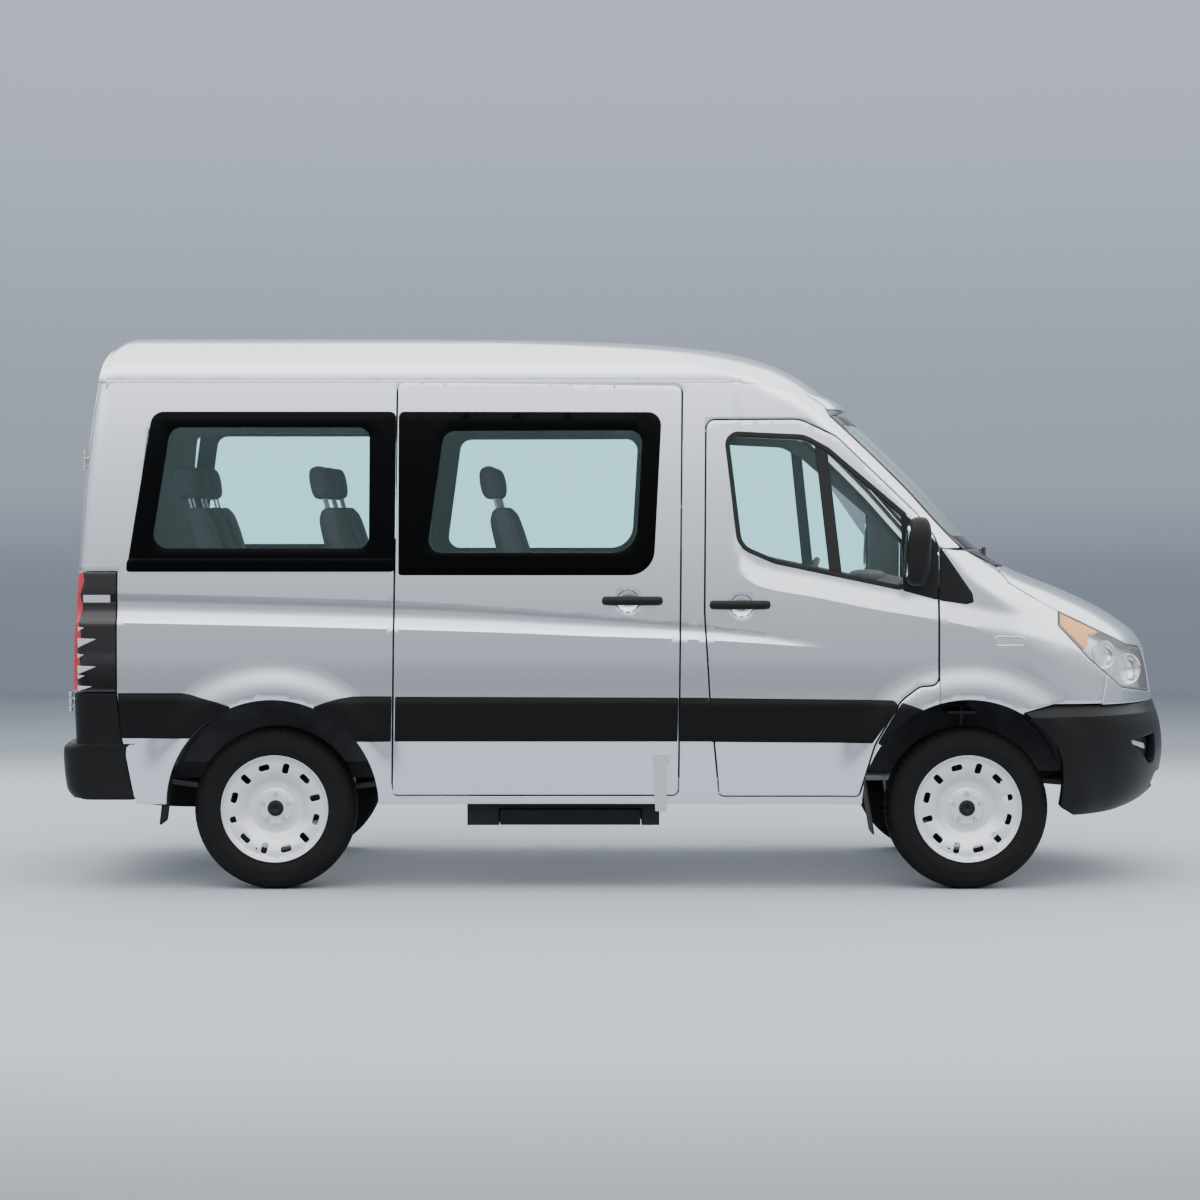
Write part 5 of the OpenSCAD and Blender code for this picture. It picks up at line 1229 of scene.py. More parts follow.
def make_wheel(x, side, body, label):
    """A wheel: tyre with tread blocks and ribs, slotted disc, rim lip and barrel, bolts and a bare cap."""
    centre = (x, side * HALF_TRACK, AXLE_Z)
    half = 114.0
    outside = [(230, half - 26), (240, half - 16), (250, half - 8), (256, half - 4), (262, half - 4.5),
               (272, half - 2),
               (290, half), (310, half - 1), (314, half - 3), (330, half - 4), (338, half - 6),
               (350, half - 12),
               (362, half - 21), (371, half - 32), (377, half - 44), (380, half - 58)]
    grooves = [(380, 40), (380, 37), (371, 36), (371, 28), (380, 27), (380, 6), (371, 5), (371, -5),
               (380, -6)]
    mirrored_half = [(r, -a) for r, a in (outside + grooves)[::-1]]
    profile = outside + grooves + mirrored_half + [(214, -half + 30), (214, half - 30)]

    def blocks(turn, reach, radius):
        wide = np.abs(reach)
        phase = (turn * 66 / (2 * math.pi) + np.where(wide > 30, 0.5, 0) + reach / 90) % 1
        depth = np.where(phase < 0.16, 8.0, 0.0) * ease((radius - 366) / 8)
        ribs = np.where(((turn * 120 / (2 * math.pi)) % 1 < 0.5) & (radius > 345) & (radius < 366), -1.2, 0)
        return -depth + ribs
    tyre = revolve(f"tyre_skin_{label}", profile, centre, mats("tyre_rubber"), steps=396, side=side,
                   shift=blocks)
    settle(tyre, body, "tyre", f"tyre_{label}")
    dish = curve([[0, 62], [60, 62], [77, 61], [83, 48], [96, 43], [118, 44], [150, 66], [180, 84],
                  [206, 91], [222, 91], [231, 91],
                  [237, 96], [244, 107]])

    def disc(u, v):
        r = np.hypot(u, v)
        a = dish(r)
        turn = np.degrees(np.arctan2(v, u))
        across = np.radians(turn % 30 - 15) * 200
        a = a - 4 * np.exp(-((r - 196) / 22) ** 2 - (across / 24) ** 2)
        return np.stack([x + u, side * (HALF_TRACK + a), AXLE_Z + v], -1)
    holes = []
    for k in range(12):
        turn = math.radians(k * 30 + 15)
        deep, wide = ((27, 16), (16, 27))[k % 2]
        slot = rounded([[-deep, -wide, 12], [deep, -wide, 12], [deep, wide, 12], [-deep, wide, 12]], 6)
        spot = np.array([math.cos(turn), math.sin(turn)])
        holes.append(spot * (193 + 4 * (k % 2)) + slot[:, :1] * spot + slot[:,
            1:] * np.array([-spot[1], spot[0]]))
    for k in range(5):
        turn = math.radians(k * 72 + 90)
        holes.append(circle(64 * math.cos(turn), 64 * math.sin(turn), 10.5, count=20))
    face = panel(f"disc_{label}", [circle(0, 0, 241, count=120)], holes, disc,
                 mats("wheel_silver", "dark_metal"), depth=5,
                 step=(9, 9), edge_step=7, edge_r=1.6, inward=(x, 0, AXLE_Z))
    barrel = revolve(f"barrel_{label}", [(229, 64), (232, 78), (236, 92), (242.5, 104), (245, 112),
        (249, 114.5), (252, 111),
                                         (247, 103), (240, 98), (235, 88), (231, 60), (226, 20), (226, -70),
                                         (236, -92),
                                         (247, -100), (245, -106), (232, -98), (220, -72), (219, 20),
                                         (223, 58)],
                     centre, mats("wheel_silver"), side=side)
    hub = revolve(f"hub_{label}", [(2, 81), (30, 80), (36, 77), (37.5, 70), (38, 55), (34, 52), (2, 52)],
                  centre,
                  mats("black_plastic"), steps=48, side=side)
    parts = [face, barrel, hub]
    for k in range(5):
        turn = math.radians(k * 72 + 90)
        spot = (x + 64 * math.cos(turn), side * (HALF_TRACK + 52), AXLE_Z + 64 * math.sin(turn))
        parts.append(revolve(f"bolt_{label}_{k}",
                             [(0.5, 17), (7.4, 16), (8.4, 13), (8.4, 2), (10, 1), (10, -14), (0.5, -14)],
                             spot, mats("bright_metal"), steps=6, side=side, smooth_angle=20))
    turn = math.radians(245)
    spot = np.array([x + 214 * math.cos(turn), side * (HALF_TRACK + 70), AXLE_Z + 214 * math.sin(turn)])
    stem = np.array([math.cos(turn), 0, math.sin(turn)])
    parts.append(tube(f"valve_{label}", [spot, spot - stem * 6 + [0, side * 18, 0],
        spot - stem * 10 + [0, side * 32, 0]], 4,
                      mats("rubber"), steps=10))
    settle(join(f"wheel_face_{label}", parts), body, "wheel", f"rim_{label}")


def make_moulding(name, side, outline, body, *nodes):
    """A protective strip: a broad flat with a chamfer along its top and bottom."""
    low, high = outline[:, 1].min(), outline[:, 1].max()

    def height(u, v):
        edge = np.minimum(v - low, high - v)
        return 7 * ease(edge / 34) - 2
    piece = panel(name, [outline], [REAR_ARCH, FRONT_ARCH, *([grow(DOOR, 8)] if body == "body" else [])],
                  raised(side_place(side, 4), height), mats("moulding", "moulding"), depth=8, edge_r=2,
                  step=(40, 8), edge_step=12)
    return settle(piece, body, "black_plastic", *nodes)


def make_trim():
    """Mouldings, window rail, handles, fuel flap, repeaters and the roof's aerial foot."""
    for label, side in SIDES.items():
        rear = [(-2350, 717), (-1990, 717), (-1840, 800), (-1846, 863), (-1905, 884), (-1980, 905),
                (-2030, 920), (-2070, 926), (-2366, 926)]
        make_moulding(f"moulding_rear_{label}", side, np.array(rear), "body")
        middle = [(-1451, 863), (-1395, 885), (-1335, 902), (-1270, 911), (SLIDER_REAR - 24, 911),
                  (SLIDER_REAR - 28, 702),
                  (-1300, 702), (-1460, 790)]
        make_moulding(f"moulding_middle_{label}", side, np.array(middle), "body")
        ahead = [(1180, 690), (1190, 760), (1240, 830), (1283, 884), (1335, 868), (1396, 843), (1400, 780),
                 (1250, 660)]
        make_moulding(f"moulding_ahead_{label}", side, np.array(ahead), "body")
        along = rounded([[SLIDER_REAR - 8, 702, 6], [SLIDER_FRONT - 26, 702, 6],
                         [SLIDER_FRONT - 22, 905, 6], [SLIDER_REAR - 4, 909, 6]])
        make_moulding(f"moulding_slider_{label}", side, along, "body", *(["side_trim"] if side > 0 else []))
        pillar = np.array([(SLIDER_FRONT - 14, 702), (440, 702), (440, 904), (SLIDER_FRONT - 10, 905)])
        make_moulding(f"moulding_pillar_{label}", side, pillar, "body")
        cab = rounded([[398, 700, 6], [1150, 695, 10], [1222, 800, 60], [1300, 893, 30], [392, 903, 6]])
        make_moulding(f"moulding_cab_{label}", side, cab, f"door_{label}", f"door_trim_{label}")
        rail = rounded([[-2326, 1497, 10], [-1088, 1497, 10], [-1088, 1552, 10], [-2324, 1552, 20]])
        strip = panel(f"rail_{label}", [rail], [], side_place(side, 11), mats("gloss_black", "gloss_black"),
                      depth=8,
                      edge_r=4, step=(40, 12))
        settle(strip, "body", "black_plastic")
        make_handle(f"handle_cab_{label}", side, 533, 1339, CAB_BOWL, f"door_{label}")
        repeater = rounded([[1721, 1190, 14], [1860, 1186, 18], [1866, 1146, 18], [1724, 1146, 14]])
        rim = panel(f"repeater_rim_{label}", [grow(repeater, 3)], [grow(repeater, -4)], side_place(side, 4),
                    mats("chrome", "chrome"), depth=6, edge_r=2, step=(20, 10), edge_step=6)
        lens = panel(f"repeater_lens_{label}", [grow(repeater, -4.4)], [], side_place(side, 3),
                     mats("clear_lens", "chrome"),
                     depth=6, edge_r=1, step=(14, 8), edge_step=6)
        settle(join(f"repeater_{label}", [rim, lens]), "body", "lamp")
    make_handle("handle_slider", -1, 31, 1358, SLIDER_BOWL, "body")
    for side, x0, x1, label in ((1, 1015, 1085, "left"),):
        flap = panel("fuel_flap", [rounded([[-1560, 1010, 20], [-1400, 1010, 20], [-1400, 1170, 20],
            [-1560, 1170, 20]])], [],
                     side_place(side, 1.2), mats("body_paint", "body_paint"), depth=1.1, edge_r=1)
        settle(flap, "body", "body_paint")
    foot = soft_box("aerial_foot", (-445, 0, 2617), (96, 46, 10), mats("black_plastic"), p=2.4)
    settle(foot, "body", "black_plastic")


def make_handle(name, side, x, z, bowl, body):
    """A grip bar over a round bowl dished into the panel."""
    y = float(outer_half(np.float64(x), np.float64(z)))
    path = [(x - 128, 4), (x - 112, 20), (x - 70, 27), (x, 29), (x + 70, 27), (x + 112, 20), (x + 128, 4)]
    path = np.array([(px, side * (y + out), z) for px, out in path])
    fine = np.linspace(0, 6, 40)
    path = np.stack([np.interp(fine, np.arange(7), path[:, k]) for k in range(3)], -1)
    grip = tube(f"{name}_grip", path, 20, mats("black_plastic"), steps=20, flat=1.05)
    dish = panel(f"{name}_bowl", [circle(*bowl, BOWL_R, count=48)], [],
                 raised(side_place(side), lambda u,
                        v: -26 * (1 - np.clip(np.hypot(u - bowl[0], v - bowl[1]) / BOWL_R, 0, 1) ** 2)),
                 mats("body_paint", "dark_metal"), depth=2, step=(7, 7), edge_step=6)
    settle(grip, body, "black_plastic")
    settle(dish, body, "body_paint")


def make_mirror(side, label):
    """A door mirror: housing, glass and arm."""
    skin = float(outer_half(np.float64(1341.0), np.float64(1560.0)))

    def shape(p):
        lean = p[..., 2] / 350
        p[..., 0] += 18 * lean - 0.0006 * p[..., 1] ** 2
        return p
    shell = soft_box(f"mirror_shell_{label}", (1350, side * (skin + 135), 1590), (118, 186, 318),
                     mats("black_plastic"), p=3.2,
                     n=28, bend=shape)
    pane = panel(f"mirror_pane_{label}", [rounded([[side * (skin + 135) - 66, 1474, 24],
        [side * (skin + 135) + 66, 1474, 24],
                                                  [side * (skin + 135) + 66, 1706, 24],
                                                  [side * (skin + 135) - 66, 1706, 24]])], [],
                 flat_place("x", 1296, 0.05, 1590), mats("mirror_glass", "black_plastic"), depth=6,
                 edge_r=1.5, inward=(1400, side * (skin + 135), 1590))
    arm = [tube(f"mirror_arm_{label}_{k}", [(1352, side * (skin + 2), 1560 + dz),
        (1352, side * (skin + 30), 1560 + dz), (1350, side * (skin + 60), 1562 + dz)],
                22, mats("black_plastic"), steps=16, flat=0.7) for k, dz in enumerate((-25, 25))]
    settle(join(f"mirror_{label}", [shell, pane] + arm), f"door_{label}", "black_plastic")


def pillow(size, crown, n=26, waist=0.06):
    """A pad's points before it is filled: a rounded slab whose sides pull in between its corners and whose two
    broad faces rise to a crown."""
    width, length, height = size
    lat = np.linspace(-math.pi / 2, math.pi / 2, n + 1)[:, None]
    lon = np.linspace(0, 2 * math.pi, 2 * n, endpoint=False)[None, :]
    ray = np.stack([np.cos(lat) * np.cos(lon), np.cos(lat) * np.sin(lon), np.sin(lat) + 0 * lon], -1)
    cube = ray / np.abs(ray).max(-1, keepdims=True)
    grid = cube / (np.abs(cube) ** 6).sum(-1, keepdims=True) ** (1 / 6) * 0.5
    x, y, z = grid[..., 0], grid[..., 1], grid[..., 2]
    pull = 1 - waist * (1 - (2 * np.abs(y)) ** 2)
    side = 1 - waist * (1 - (2 * np.abs(x)) ** 2)
    rise = 1 + crown * (1 - (2 * x) ** 2) * (1 - (2 * y) ** 2)
    return np.stack([x * length * pull, y * width * side, z * height * rise], -1)


def fill_pad(name, grid, cap):
    """A pad blown up by cloth simulation: remeshed, filled for 20 frames, its points held within cap
    of the start."""
    raw = turn_outwards(grid_mesh(name, grid, mats("seat_cloth"), around=True))
    bpy.context.view_layer.objects.active = raw
    remesh = raw.modifiers.new("remesh", "REMESH")
    remesh.mode = "VOXEL"
    remesh.voxel_size = 0.010
    apply_modifiers(raw)
    start = read_points(raw)
    cloth = raw.modifiers.new("cloth", "CLOTH")
    cloth.settings.use_pressure = True
    cloth.settings.uniform_pressure_force = 4.0
    cloth.settings.effector_weights.gravity = 0.0
    scene = bpy.context.scene
    for at in range(1, 21):
        scene.frame_set(at)
    apply_modifiers(raw)
    scene.frame_set(1)
    moved = read_points(raw)
    step = moved - start
    far = np.linalg.norm(step, axis=1, keepdims=True)
    write_points(raw, start + step * np.minimum(1, cap / np.maximum(far, 1e-9)))
    smooth = raw.modifiers.new("smooth", "SMOOTH")
    smooth.iterations = 6
    apply_modifiers(raw)
    raw.data.shade_smooth()
    return raw


def apply_modifiers(made):
    """The evaluated mesh takes the place of the object's own, and its modifiers go."""
    graph = bpy.context.evaluated_depsgraph_get()
    mesh = bpy.data.meshes.new_from_object(made.evaluated_get(graph))
    old = made.data
    made.modifiers.clear()
    made.data = mesh
    bpy.data.meshes.remove(old)


def read_points(made):
    co = np.zeros(3 * len(made.data.vertices), np.float32)
    made.data.vertices.foreach_get("co", co)
    return co.reshape(-1, 3).astype(float)


def write_points(made, points):
    made.data.vertices.foreach_set("co", points.astype(np.float32).ravel())
    made.data.update()


def place_pads(name, pad, spots, lean, groove, body, *nodes):
    """Copies of a pad at each place (in metres), leaned about Y, with sewn channels pressed along its
    length."""
    points = read_points(pad)
    low, high = points.min(0), points.max(0)
    part = (points - low) / (high - low) - 0.5
    channel = np.zeros(len(points))
    for across in groove:
        channel += np.exp(-((part[:, 1] - across) / 0.018) ** 2)
    top = ease((points[:, 2] - points[:, 2].mean()) / (0.4 * (high[2] - low[2])))
    points[:, 2] -= 0.007 * channel * top
    c, s = math.cos(lean), math.sin(lean)
    turned_points = np.stack([points[:, 0] * c + points[:, 2] * s, points[:, 1],
                              -points[:, 0] * s + points[:, 2] * c], -1)
    write_points(pad, turned_points)
    work = bmesh.new()
    for spot in spots:
        write_points(pad, turned_points + np.array(spot) * MM)
        work.from_mesh(pad.data)
    mesh = bpy.data.meshes.new(name)
    work.to_mesh(mesh)
    work.free()
    for material in pad.data.materials:
        mesh.materials.append(material)
    mesh.polygons.foreach_set("use_smooth", np.ones(len(mesh.polygons), bool))
    made = bpy.data.objects.new(name, mesh)
    bpy.context.scene.collection.objects.link(made)
    bpy.data.meshes.remove(pad.data)
    return settle(made, body, "seat_cloth", *nodes)


SEAT_FLOOR = 650.0
FRONT_ROW = [(DOOR_REAR + 240, -400), (DOOR_REAR + 240, 400)]
BACK_ROWS = [(x, y) for x in (REAR_AXLE - 119, SLIDER_REAR - 48, SLIDER_FRONT - 564) for y in (-465, 0,
    465)]


def make_seats(label, spots, *nodes):
    """Cushions, backs and headrests for a group of seats, on a boxed base with belts' buckles."""
    cushion = fill_pad(f"{label}_cushion_form", pillow((416, 440, 92), 0.25), 0.014)
    back = fill_pad(f"{label}_back_form", pillow((410, 770, 84), 0.3), 0.014)
    rest = fill_pad(f"{label}_rest_form", pillow((236, 165, 74), 0.25), 0.010)
    place_pads(f"{label}_cushions", cushion, [(x + 22, y, SEAT_FLOOR + 386) for x, y in spots],
               math.radians(-4),
               (-0.27, 0.27), "body", *nodes)
    place_pads(f"{label}_backs", back, [(x - 213, y, SEAT_FLOOR + 800) for x, y in spots], math.radians(74),
               (-0.27, 0.27), "body")
    place_pads(f"{label}_headrests", rest, [(x - 352, y, SEAT_FLOOR + 1262) for x, y in spots],
               math.radians(80),
               (), "body")
    parts = []
    for k, (x, y) in enumerate(spots):
        for dy in (-70, 70):
            parts.append(tube(f"{label}_stalk_{k}_{dy}",
                              [(x - 312, y + dy, SEAT_FLOOR + 1120), (x - 325, y + dy, SEAT_FLOOR + 1170),
                                                           (x - 340, y + dy, SEAT_FLOOR + 1220)], 6,
                                                           mats("bright_metal"), steps=10))
        parts.append(panel(f"{label}_base_{k}",
                           [rounded([[x - 175, y - 150, 20], [x + 150, y - 150, 20], [x + 150, y + 150, 20],
                                                          [x - 175, y + 150, 20]])], [],
                                                          flat_place("z", SEAT_FLOOR + 345),
                           mats("dark_plastic", "dark_metal"), depth=SEAT_FLOOR + 345 - 651, edge_r=8,
                           step=(60, 60), inward=(x, y, 0)))
        buckle = soft_box(f"{label}_buckle_{k}", (x - 120, y + 214, SEAT_FLOOR + 470), (26, 16, 60),
                          mats("red_plastic"), p=4, n=8)
        strap = tube(f"{label}_strap_{k}", [(x - 130, y + 214, SEAT_FLOOR + 350),
            (x - 126, y + 214, SEAT_FLOOR + 400), (x - 121, y + 214, SEAT_FLOOR + 448)],
                     12, mats("dark_plastic"), steps=12, flat=0.3)
        parts += [buckle, strap]
    settle(join(f"{label}_frames", parts), "body", "dark_steel")


def make_dashboard():
    """Dashboard with a hooded cluster, vents and a centre panel; steering wheel and column."""
    section = rounded([[DOOR_FRONT - 350, 1322, 60], [DOOR_FRONT - 272, 1120, 60],
                       [DOOR_FRONT - 120, 1024, 40],
                       [DOOR_FRONT + 34, 1004, 6], [DOOR_FRONT + 34, 1396, 6],
                       [DOOR_FRONT - 120, 1444, 60]], 10)
    body = panel("dash_form", [section], [], flat_place("y", 790), mats("dash_plastic", "dash_plastic"),
                 depth=1580, edge_r=12,
                 step=(40, 40), inward=(1300, 0, 1200))
    hood = soft_box("dash_hood", (DOOR_FRONT - 215, 400, 1432), (190, 360, 90), mats("dash_plastic"), p=3,
                    n=18)
    stack = panel("dash_stack", [rounded([[-150, 1060, 20], [150, 1060, 20], [165, 1330, 20],
        [-165, 1330, 20]])], [],
                  flat_place("x", DOOR_FRONT - 338, 0.12, 1200), mats("dark_plastic", "dark_plastic"),
                  depth=60, edge_r=6,
                  inward=(1400, 0, 1200))
    parts = [body, hood, stack]
    for k, y in enumerate((-650, -110, 110, 650)):
        parts.append(panel(f"vent_{k}", [rounded([[y - 50, 1350, 14], [y + 50, 1350, 14],
            [y + 50, 1420, 14], [y - 50, 1420, 14]])],
                           [rounded([[y - 42, 1358, 8], [y + 42, 1358, 8], [y + 42, 1412, 8],
                               [y - 42, 1412, 8]])],
                           flat_place("x", DOOR_FRONT - 322, 0.5, 1385),
                           mats("dark_plastic", "dark_plastic"), depth=30, edge_r=3,
                           inward=(1400, y, 1200)))
    settle(join("dashboard_skin", parts), "body", "black_plastic", "dashboard")
    steer = (DOOR_FRONT - 560, 400, 1360)
    tilt = math.radians(-62)
    ring = np.linspace(0, 2 * math.pi, 72, endpoint=False)
    small = np.linspace(0, 2 * math.pi, 16, endpoint=False)
    r = 190 + 14 * np.cos(small)[None, :]
    grid = np.stack([r * np.cos(ring)[:, None], r * np.sin(ring)[:, None],
                     14 * np.sin(small)[None, :] + 0 * ring[:, None]], -1)
    grid = np.concatenate([grid, grid[:1]])
    parts = [grid_mesh("steer_rim", grid, mats("dark_plastic"), around=True)]
    parts.append(soft_box("steer_pad", (0, 0, -8), (170, 150, 60), mats("dark_plastic"), p=3))
    for k, turn in enumerate((30, 150, 270)):
        t = math.radians(turn)
        parts.append(tube(f"steer_spoke_{k}", [(50 * math.cos(t), 50 * math.sin(t), -10),
            (120 * math.cos(t), 120 * math.sin(t), -6),
                                               (188 * math.cos(t), 188 * math.sin(t), 0)], 16,
                                               mats("dark_plastic"), flat=0.5))
    parts.append(revolve_upright("steer_column",
        [(1, -290), (34, -290), (36, -280), (36, -60), (30, -40), (1, -40)], (0, 0, 0),
                                 mats("dark_plastic")))
    wheel = join("steering_wheel", parts)
    p = read_points(wheel)
    c, s = math.cos(tilt), math.sin(tilt)
    write_points(wheel, np.stack([p[:, 0] * c + p[:, 2] * s, p[:, 1], -p[:, 0] * s + p[:, 2] * c],
        -1) + np.array(steer) * MM)
    settle(wheel, "body", "black_plastic")


def make_step():
    """The sliding step's lid with a ribbed tread, and the strap and flaps under the body."""
    strap = panel("sill_strap", [rounded([[128, 642, 4], [204, 642, 4], [204, 600, 4], [192, 590, 8],
        [190, 374, 4], [140, 374, 4]])],
                  [], side_place(-1, 9), mats("bright_metal", "bright_metal"), depth=8, edge_r=2,
                  step=(20, 20))
    settle(strap, "body", "body_paint")
    x0, x1 = SLIDER_FRONT - 1010, SLIDER_FRONT - 107
    lid = panel("step_lid", [rounded([[x0 + 155, -914, 8], [x0 + 814, -914, 8], [x0 + 814, -640, 8],
        [x0 + 155, -640, 8]])], [],
                flat_place("z", 373), mats("moulding", "moulding"), depth=6, edge_r=2, inward=(0, -800, 0),
                step=(60, 60))
    ribs = [panel(f"tread_{k}", [rounded([[x0 + 170, -908 + 20 * k, 3], [x0 + 800, -908 + 20 * k, 3],
        [x0 + 800, -900 + 20 * k, 3],
                                          [x0 + 170, -900 + 20 * k, 3]], 2)], [], flat_place("z", 375.6),
                                          mats("moulding", "moulding"),
                  depth=3, edge_r=1.5, inward=(0, -800, 0), step=(200, 60),
                  edge_step=60) for k in range(12)]
    settle(join("step_tread", [lid] + ribs), "side_step", "black_plastic")
    for label, side in SIDES.items():
        flap = panel(f"front_mudflap_{label}",
                     [rounded([[side * 700, 262, 20], [side * 948, 262, 24], [side * 944, 560, 10],
                         [side * 700, 600, 10]])],
                     [], flat_place("x", 1118, -0.16, 560), mats("rubber", "rubber"), depth=7, edge_r=2,
                     inward=(1000, 0, 400))
        settle(flap, "body", "black_plastic")
        flap = panel(f"rear_mudflap_{label}", [rounded([[side * 690, 305, 24], [side * 930, 305, 24],
            [side * 925, 690, 10], [side * 690, 690, 10]])],
                     [], flat_place("x", -2132, 0.12, 690), mats("rubber", "rubber"), depth=7, edge_r=2,
                     inward=(-2300, 0, 400))
        settle(flap, "body", "black_plastic")


class MinibusLook(bpy.types.PropertyGroup):
    """Colours a user would change."""
    paint: bpy.props.FloatVectorProperty(name="Paint", description="Colour of the body's paint",
        subtype="COLOR", size=3,
                                         default=(0.75, 0.775, 0.825), min=0, max=1)
    glass: bpy.props.FloatVectorProperty(name="Glass", description="Tint of the side windows",
        subtype="COLOR", size=3,
                                         default=(0.08, 0.14, 0.14), min=0, max=1)
    cloth: bpy.props.FloatVectorProperty(name="Seat cloth", description="Colour of the seats",
        subtype="COLOR", size=3,
                                         default=(0.045, 0.047, 0.052), min=0, max=1)
    plastic: bpy.props.FloatVectorProperty(name="Plastic", description="Colour of bumpers and mouldings",
        subtype="COLOR",
                                           size=3, default=(0.0035, 0.0037, 0.0041), min=0, max=1)


class MinibusSizes(bpy.types.PropertyGroup):
    """Sizes a user would change."""
    camera_distance: bpy.props.FloatProperty(name="Camera distance",
        description="From the bus's middle to the camera",
                                             default=15.0, min=8, max=40, unit="LENGTH")
    camera_height: bpy.props.FloatProperty(name="Camera height", description="Above the ground",
        default=1.78, min=0.3,
                                           max=6, unit="LENGTH")
    lens: bpy.props.FloatProperty(name="Lens", description="Focal length in millimetres on a 36 mm frame",
        default=90.3,
                                  min=20, max=300)


def make_materials(look):
    paint, glass, cloth, plastic = (tuple(v) for v in (look.paint, look.glass, look.cloth, look.plastic))
    finish("body_paint", paint, 0.19, metal=0.94, coat=0.5, fleck=(900.0, 0.94), dust=0.12)
    finish("cabin_lining", (0.085, 0.095, 0.10), 0.7, grain=(420.0, 0.25))
    finish("roof_lining", (0.16, 0.17, 0.175), 0.85, grain=(700.0, 0.35))
    finish("black_plastic", (0.006, 0.006, 0.0065), 0.5, specular=0.2, grain=(900.0, 0.12), dust=0.03)
    finish("bumper_plastic", plastic, 0.42, specular=0.2, grain=(700.0, 0.15), dust=0.03)
    finish("moulding", plastic, 0.38, specular=0.14, grain=(700.0, 0.15), dust=0.03)
    finish("dark_plastic", (0.022, 0.022, 0.024), 0.42, grain=(800.0, 0.15))
    finish("dash_plastic", (0.060, 0.062, 0.066), 0.55, grain=(500.0, 0.4))
    finish("rubber", (0.007, 0.007, 0.0075), 0.6, specular=0.3, grain=(600.0, 0.15), dust=0.04)
    finish("gloss_black", (0.0006, 0.0007, 0.0008), 0.09, specular=0.06, uneven=(3.0, 0.07, 0.12))
    finish("tinted_glass", glass, 0.03, alpha=0.12, specular=0.9, uneven=(2.0, 0.02, 0.05))
    finish("screen_glass", (0.35, 0.48, 0.47), 0.03, alpha=0.2, specular=0.9, uneven=(2.0, 0.02, 0.05))
    finish("clear_lens", (0.86, 0.88, 0.90), 0.04, alpha=0.09, specular=0.9, uneven=(6.0, 0.03, 0.06))
    finish("red_lens", (0.42, 0.012, 0.016), 0.14, coat=0.6, grain=(260.0, 0.2))
    finish("smoked_lens", (0.010, 0.008, 0.009), 0.1, coat=0.4, specular=0.4, uneven=(8.0, 0.08, 0.16))
    finish("grey_lens", (0.42, 0.44, 0.47), 0.2, coat=0.6, grain=(260.0, 0.2))
    finish("amber_lens", (0.85, 0.30, 0.0), 0.3, coat=0.0, grain=(260.0, 0.2))
    finish("lamp_housing", (0.62, 0.64, 0.66), 0.25, metal=0.7, uneven=(8.0, 0.2, 0.35))
    finish("chrome", (0.82, 0.83, 0.85), 0.07, metal=1.0, uneven=(6.0, 0.05, 0.12))
    finish("mirror_glass", (0.80, 0.83, 0.85), 0.02, metal=1.0, uneven=(2.0, 0.01, 0.03))
    finish("bright_metal", (0.62, 0.63, 0.64), 0.34, metal=0.9, uneven=(30.0, 0.26, 0.42))
    finish("wheel_silver", (0.70, 0.72, 0.745), 0.34, metal=0.45, coat=0.3, uneven=(12.0, 0.28, 0.42),
           dust=0.12)
    finish("dark_metal", (0.05, 0.05, 0.055), 0.55, metal=0.4, uneven=(14.0, 0.45, 0.65), dust=0.3)
    finish("tyre_rubber", (0.005, 0.005, 0.0053), 0.7, specular=0.14, grain=(260.0, 0.3), dust=0.02)
    finish("seat_cloth", cloth, 0.9, weave=(110.0, 0.4))
    finish("red_plastic", (0.35, 0.02, 0.02), 0.4, grain=(400.0, 0.1))
    finish("plate_white", (0.75, 0.75, 0.72), 0.4, grain=(500.0, 0.05), dust=0.1)


class MINIBUS_OT_materials(bpy.types.Operator):
    """Makes the node groups and every material, and gives the solids that stay theirs"""
    bl_idname = "minibus.materials"
    bl_label = "Materials"

    def execute(self, context):
        for make in (make_grain, make_uneven, make_weave, make_dust):
            make()
        make_materials(context.scene.minibus_look)
        dressed = {"floor": "dark_metal", "scuttle": "dark_metal", "engine": "dark_metal",
                   "chassis_rails": "dark_metal",
                   "rear_axle": "dark_metal", "exhaust": "bright_metal", "fuel_tank": "dark_plastic",
                   "spare_wheel": "tyre_rubber", "step_housing": "black_plastic", "side_step": "moulding",
                   "knuckle_left": "dark_metal", "knuckle_right": "dark_metal", "lamps": "dark_plastic"}
        for node, material in dressed.items():
            for place in NODES[node].material_slots:
                place.material = bpy.data.materials[material]
        return {"FINISHED"}


class MINIBUS_OT_shell(bpy.types.Operator):
    """Builds the body sides, the roof and the fixed windows"""
    bl_idname = "minibus.shell"
    bl_label = "Body sides and roof"

    def execute(self, context):
        for label, side in SIDES.items():
            make_body_side(side, label)
        make_roof()
        parts = []
        for label, side in SIDES.items():
            parts += make_window(side, label, "quarter", QUARTER_EDGE, QUARTER_CLEAR, QUARTER_HOLE)
            parts += make_window(side, label, "slider", SLIDER_EDGE, SLIDER_CLEAR, SLIDER_HOLE)
        for part in parts:
            settle(part, "body", "glass")
        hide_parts("side_windows")
        return {"FINISHED"}


class MINIBUS_OT_doors(bpy.types.Operator):
    """Builds the two cab doors with their windows, and the sliding door"""
    bl_idname = "minibus.doors"
    bl_label = "Cab and sliding doors"

    def execute(self, context):
        for label, side in SIDES.items():
            make_cab_door(side, label)
            make_mirror(side, label)
        make_slider()
        return {"FINISHED"}


class MINIBUS_OT_nose(bpy.types.Operator):
    """Builds the wings, bonnet, cowl, bumper and windscreen"""
    bl_idname = "minibus.nose"
    bl_label = "Nose"

    def execute(self, context):
        make_nose_panels()
        return {"FINISHED"}


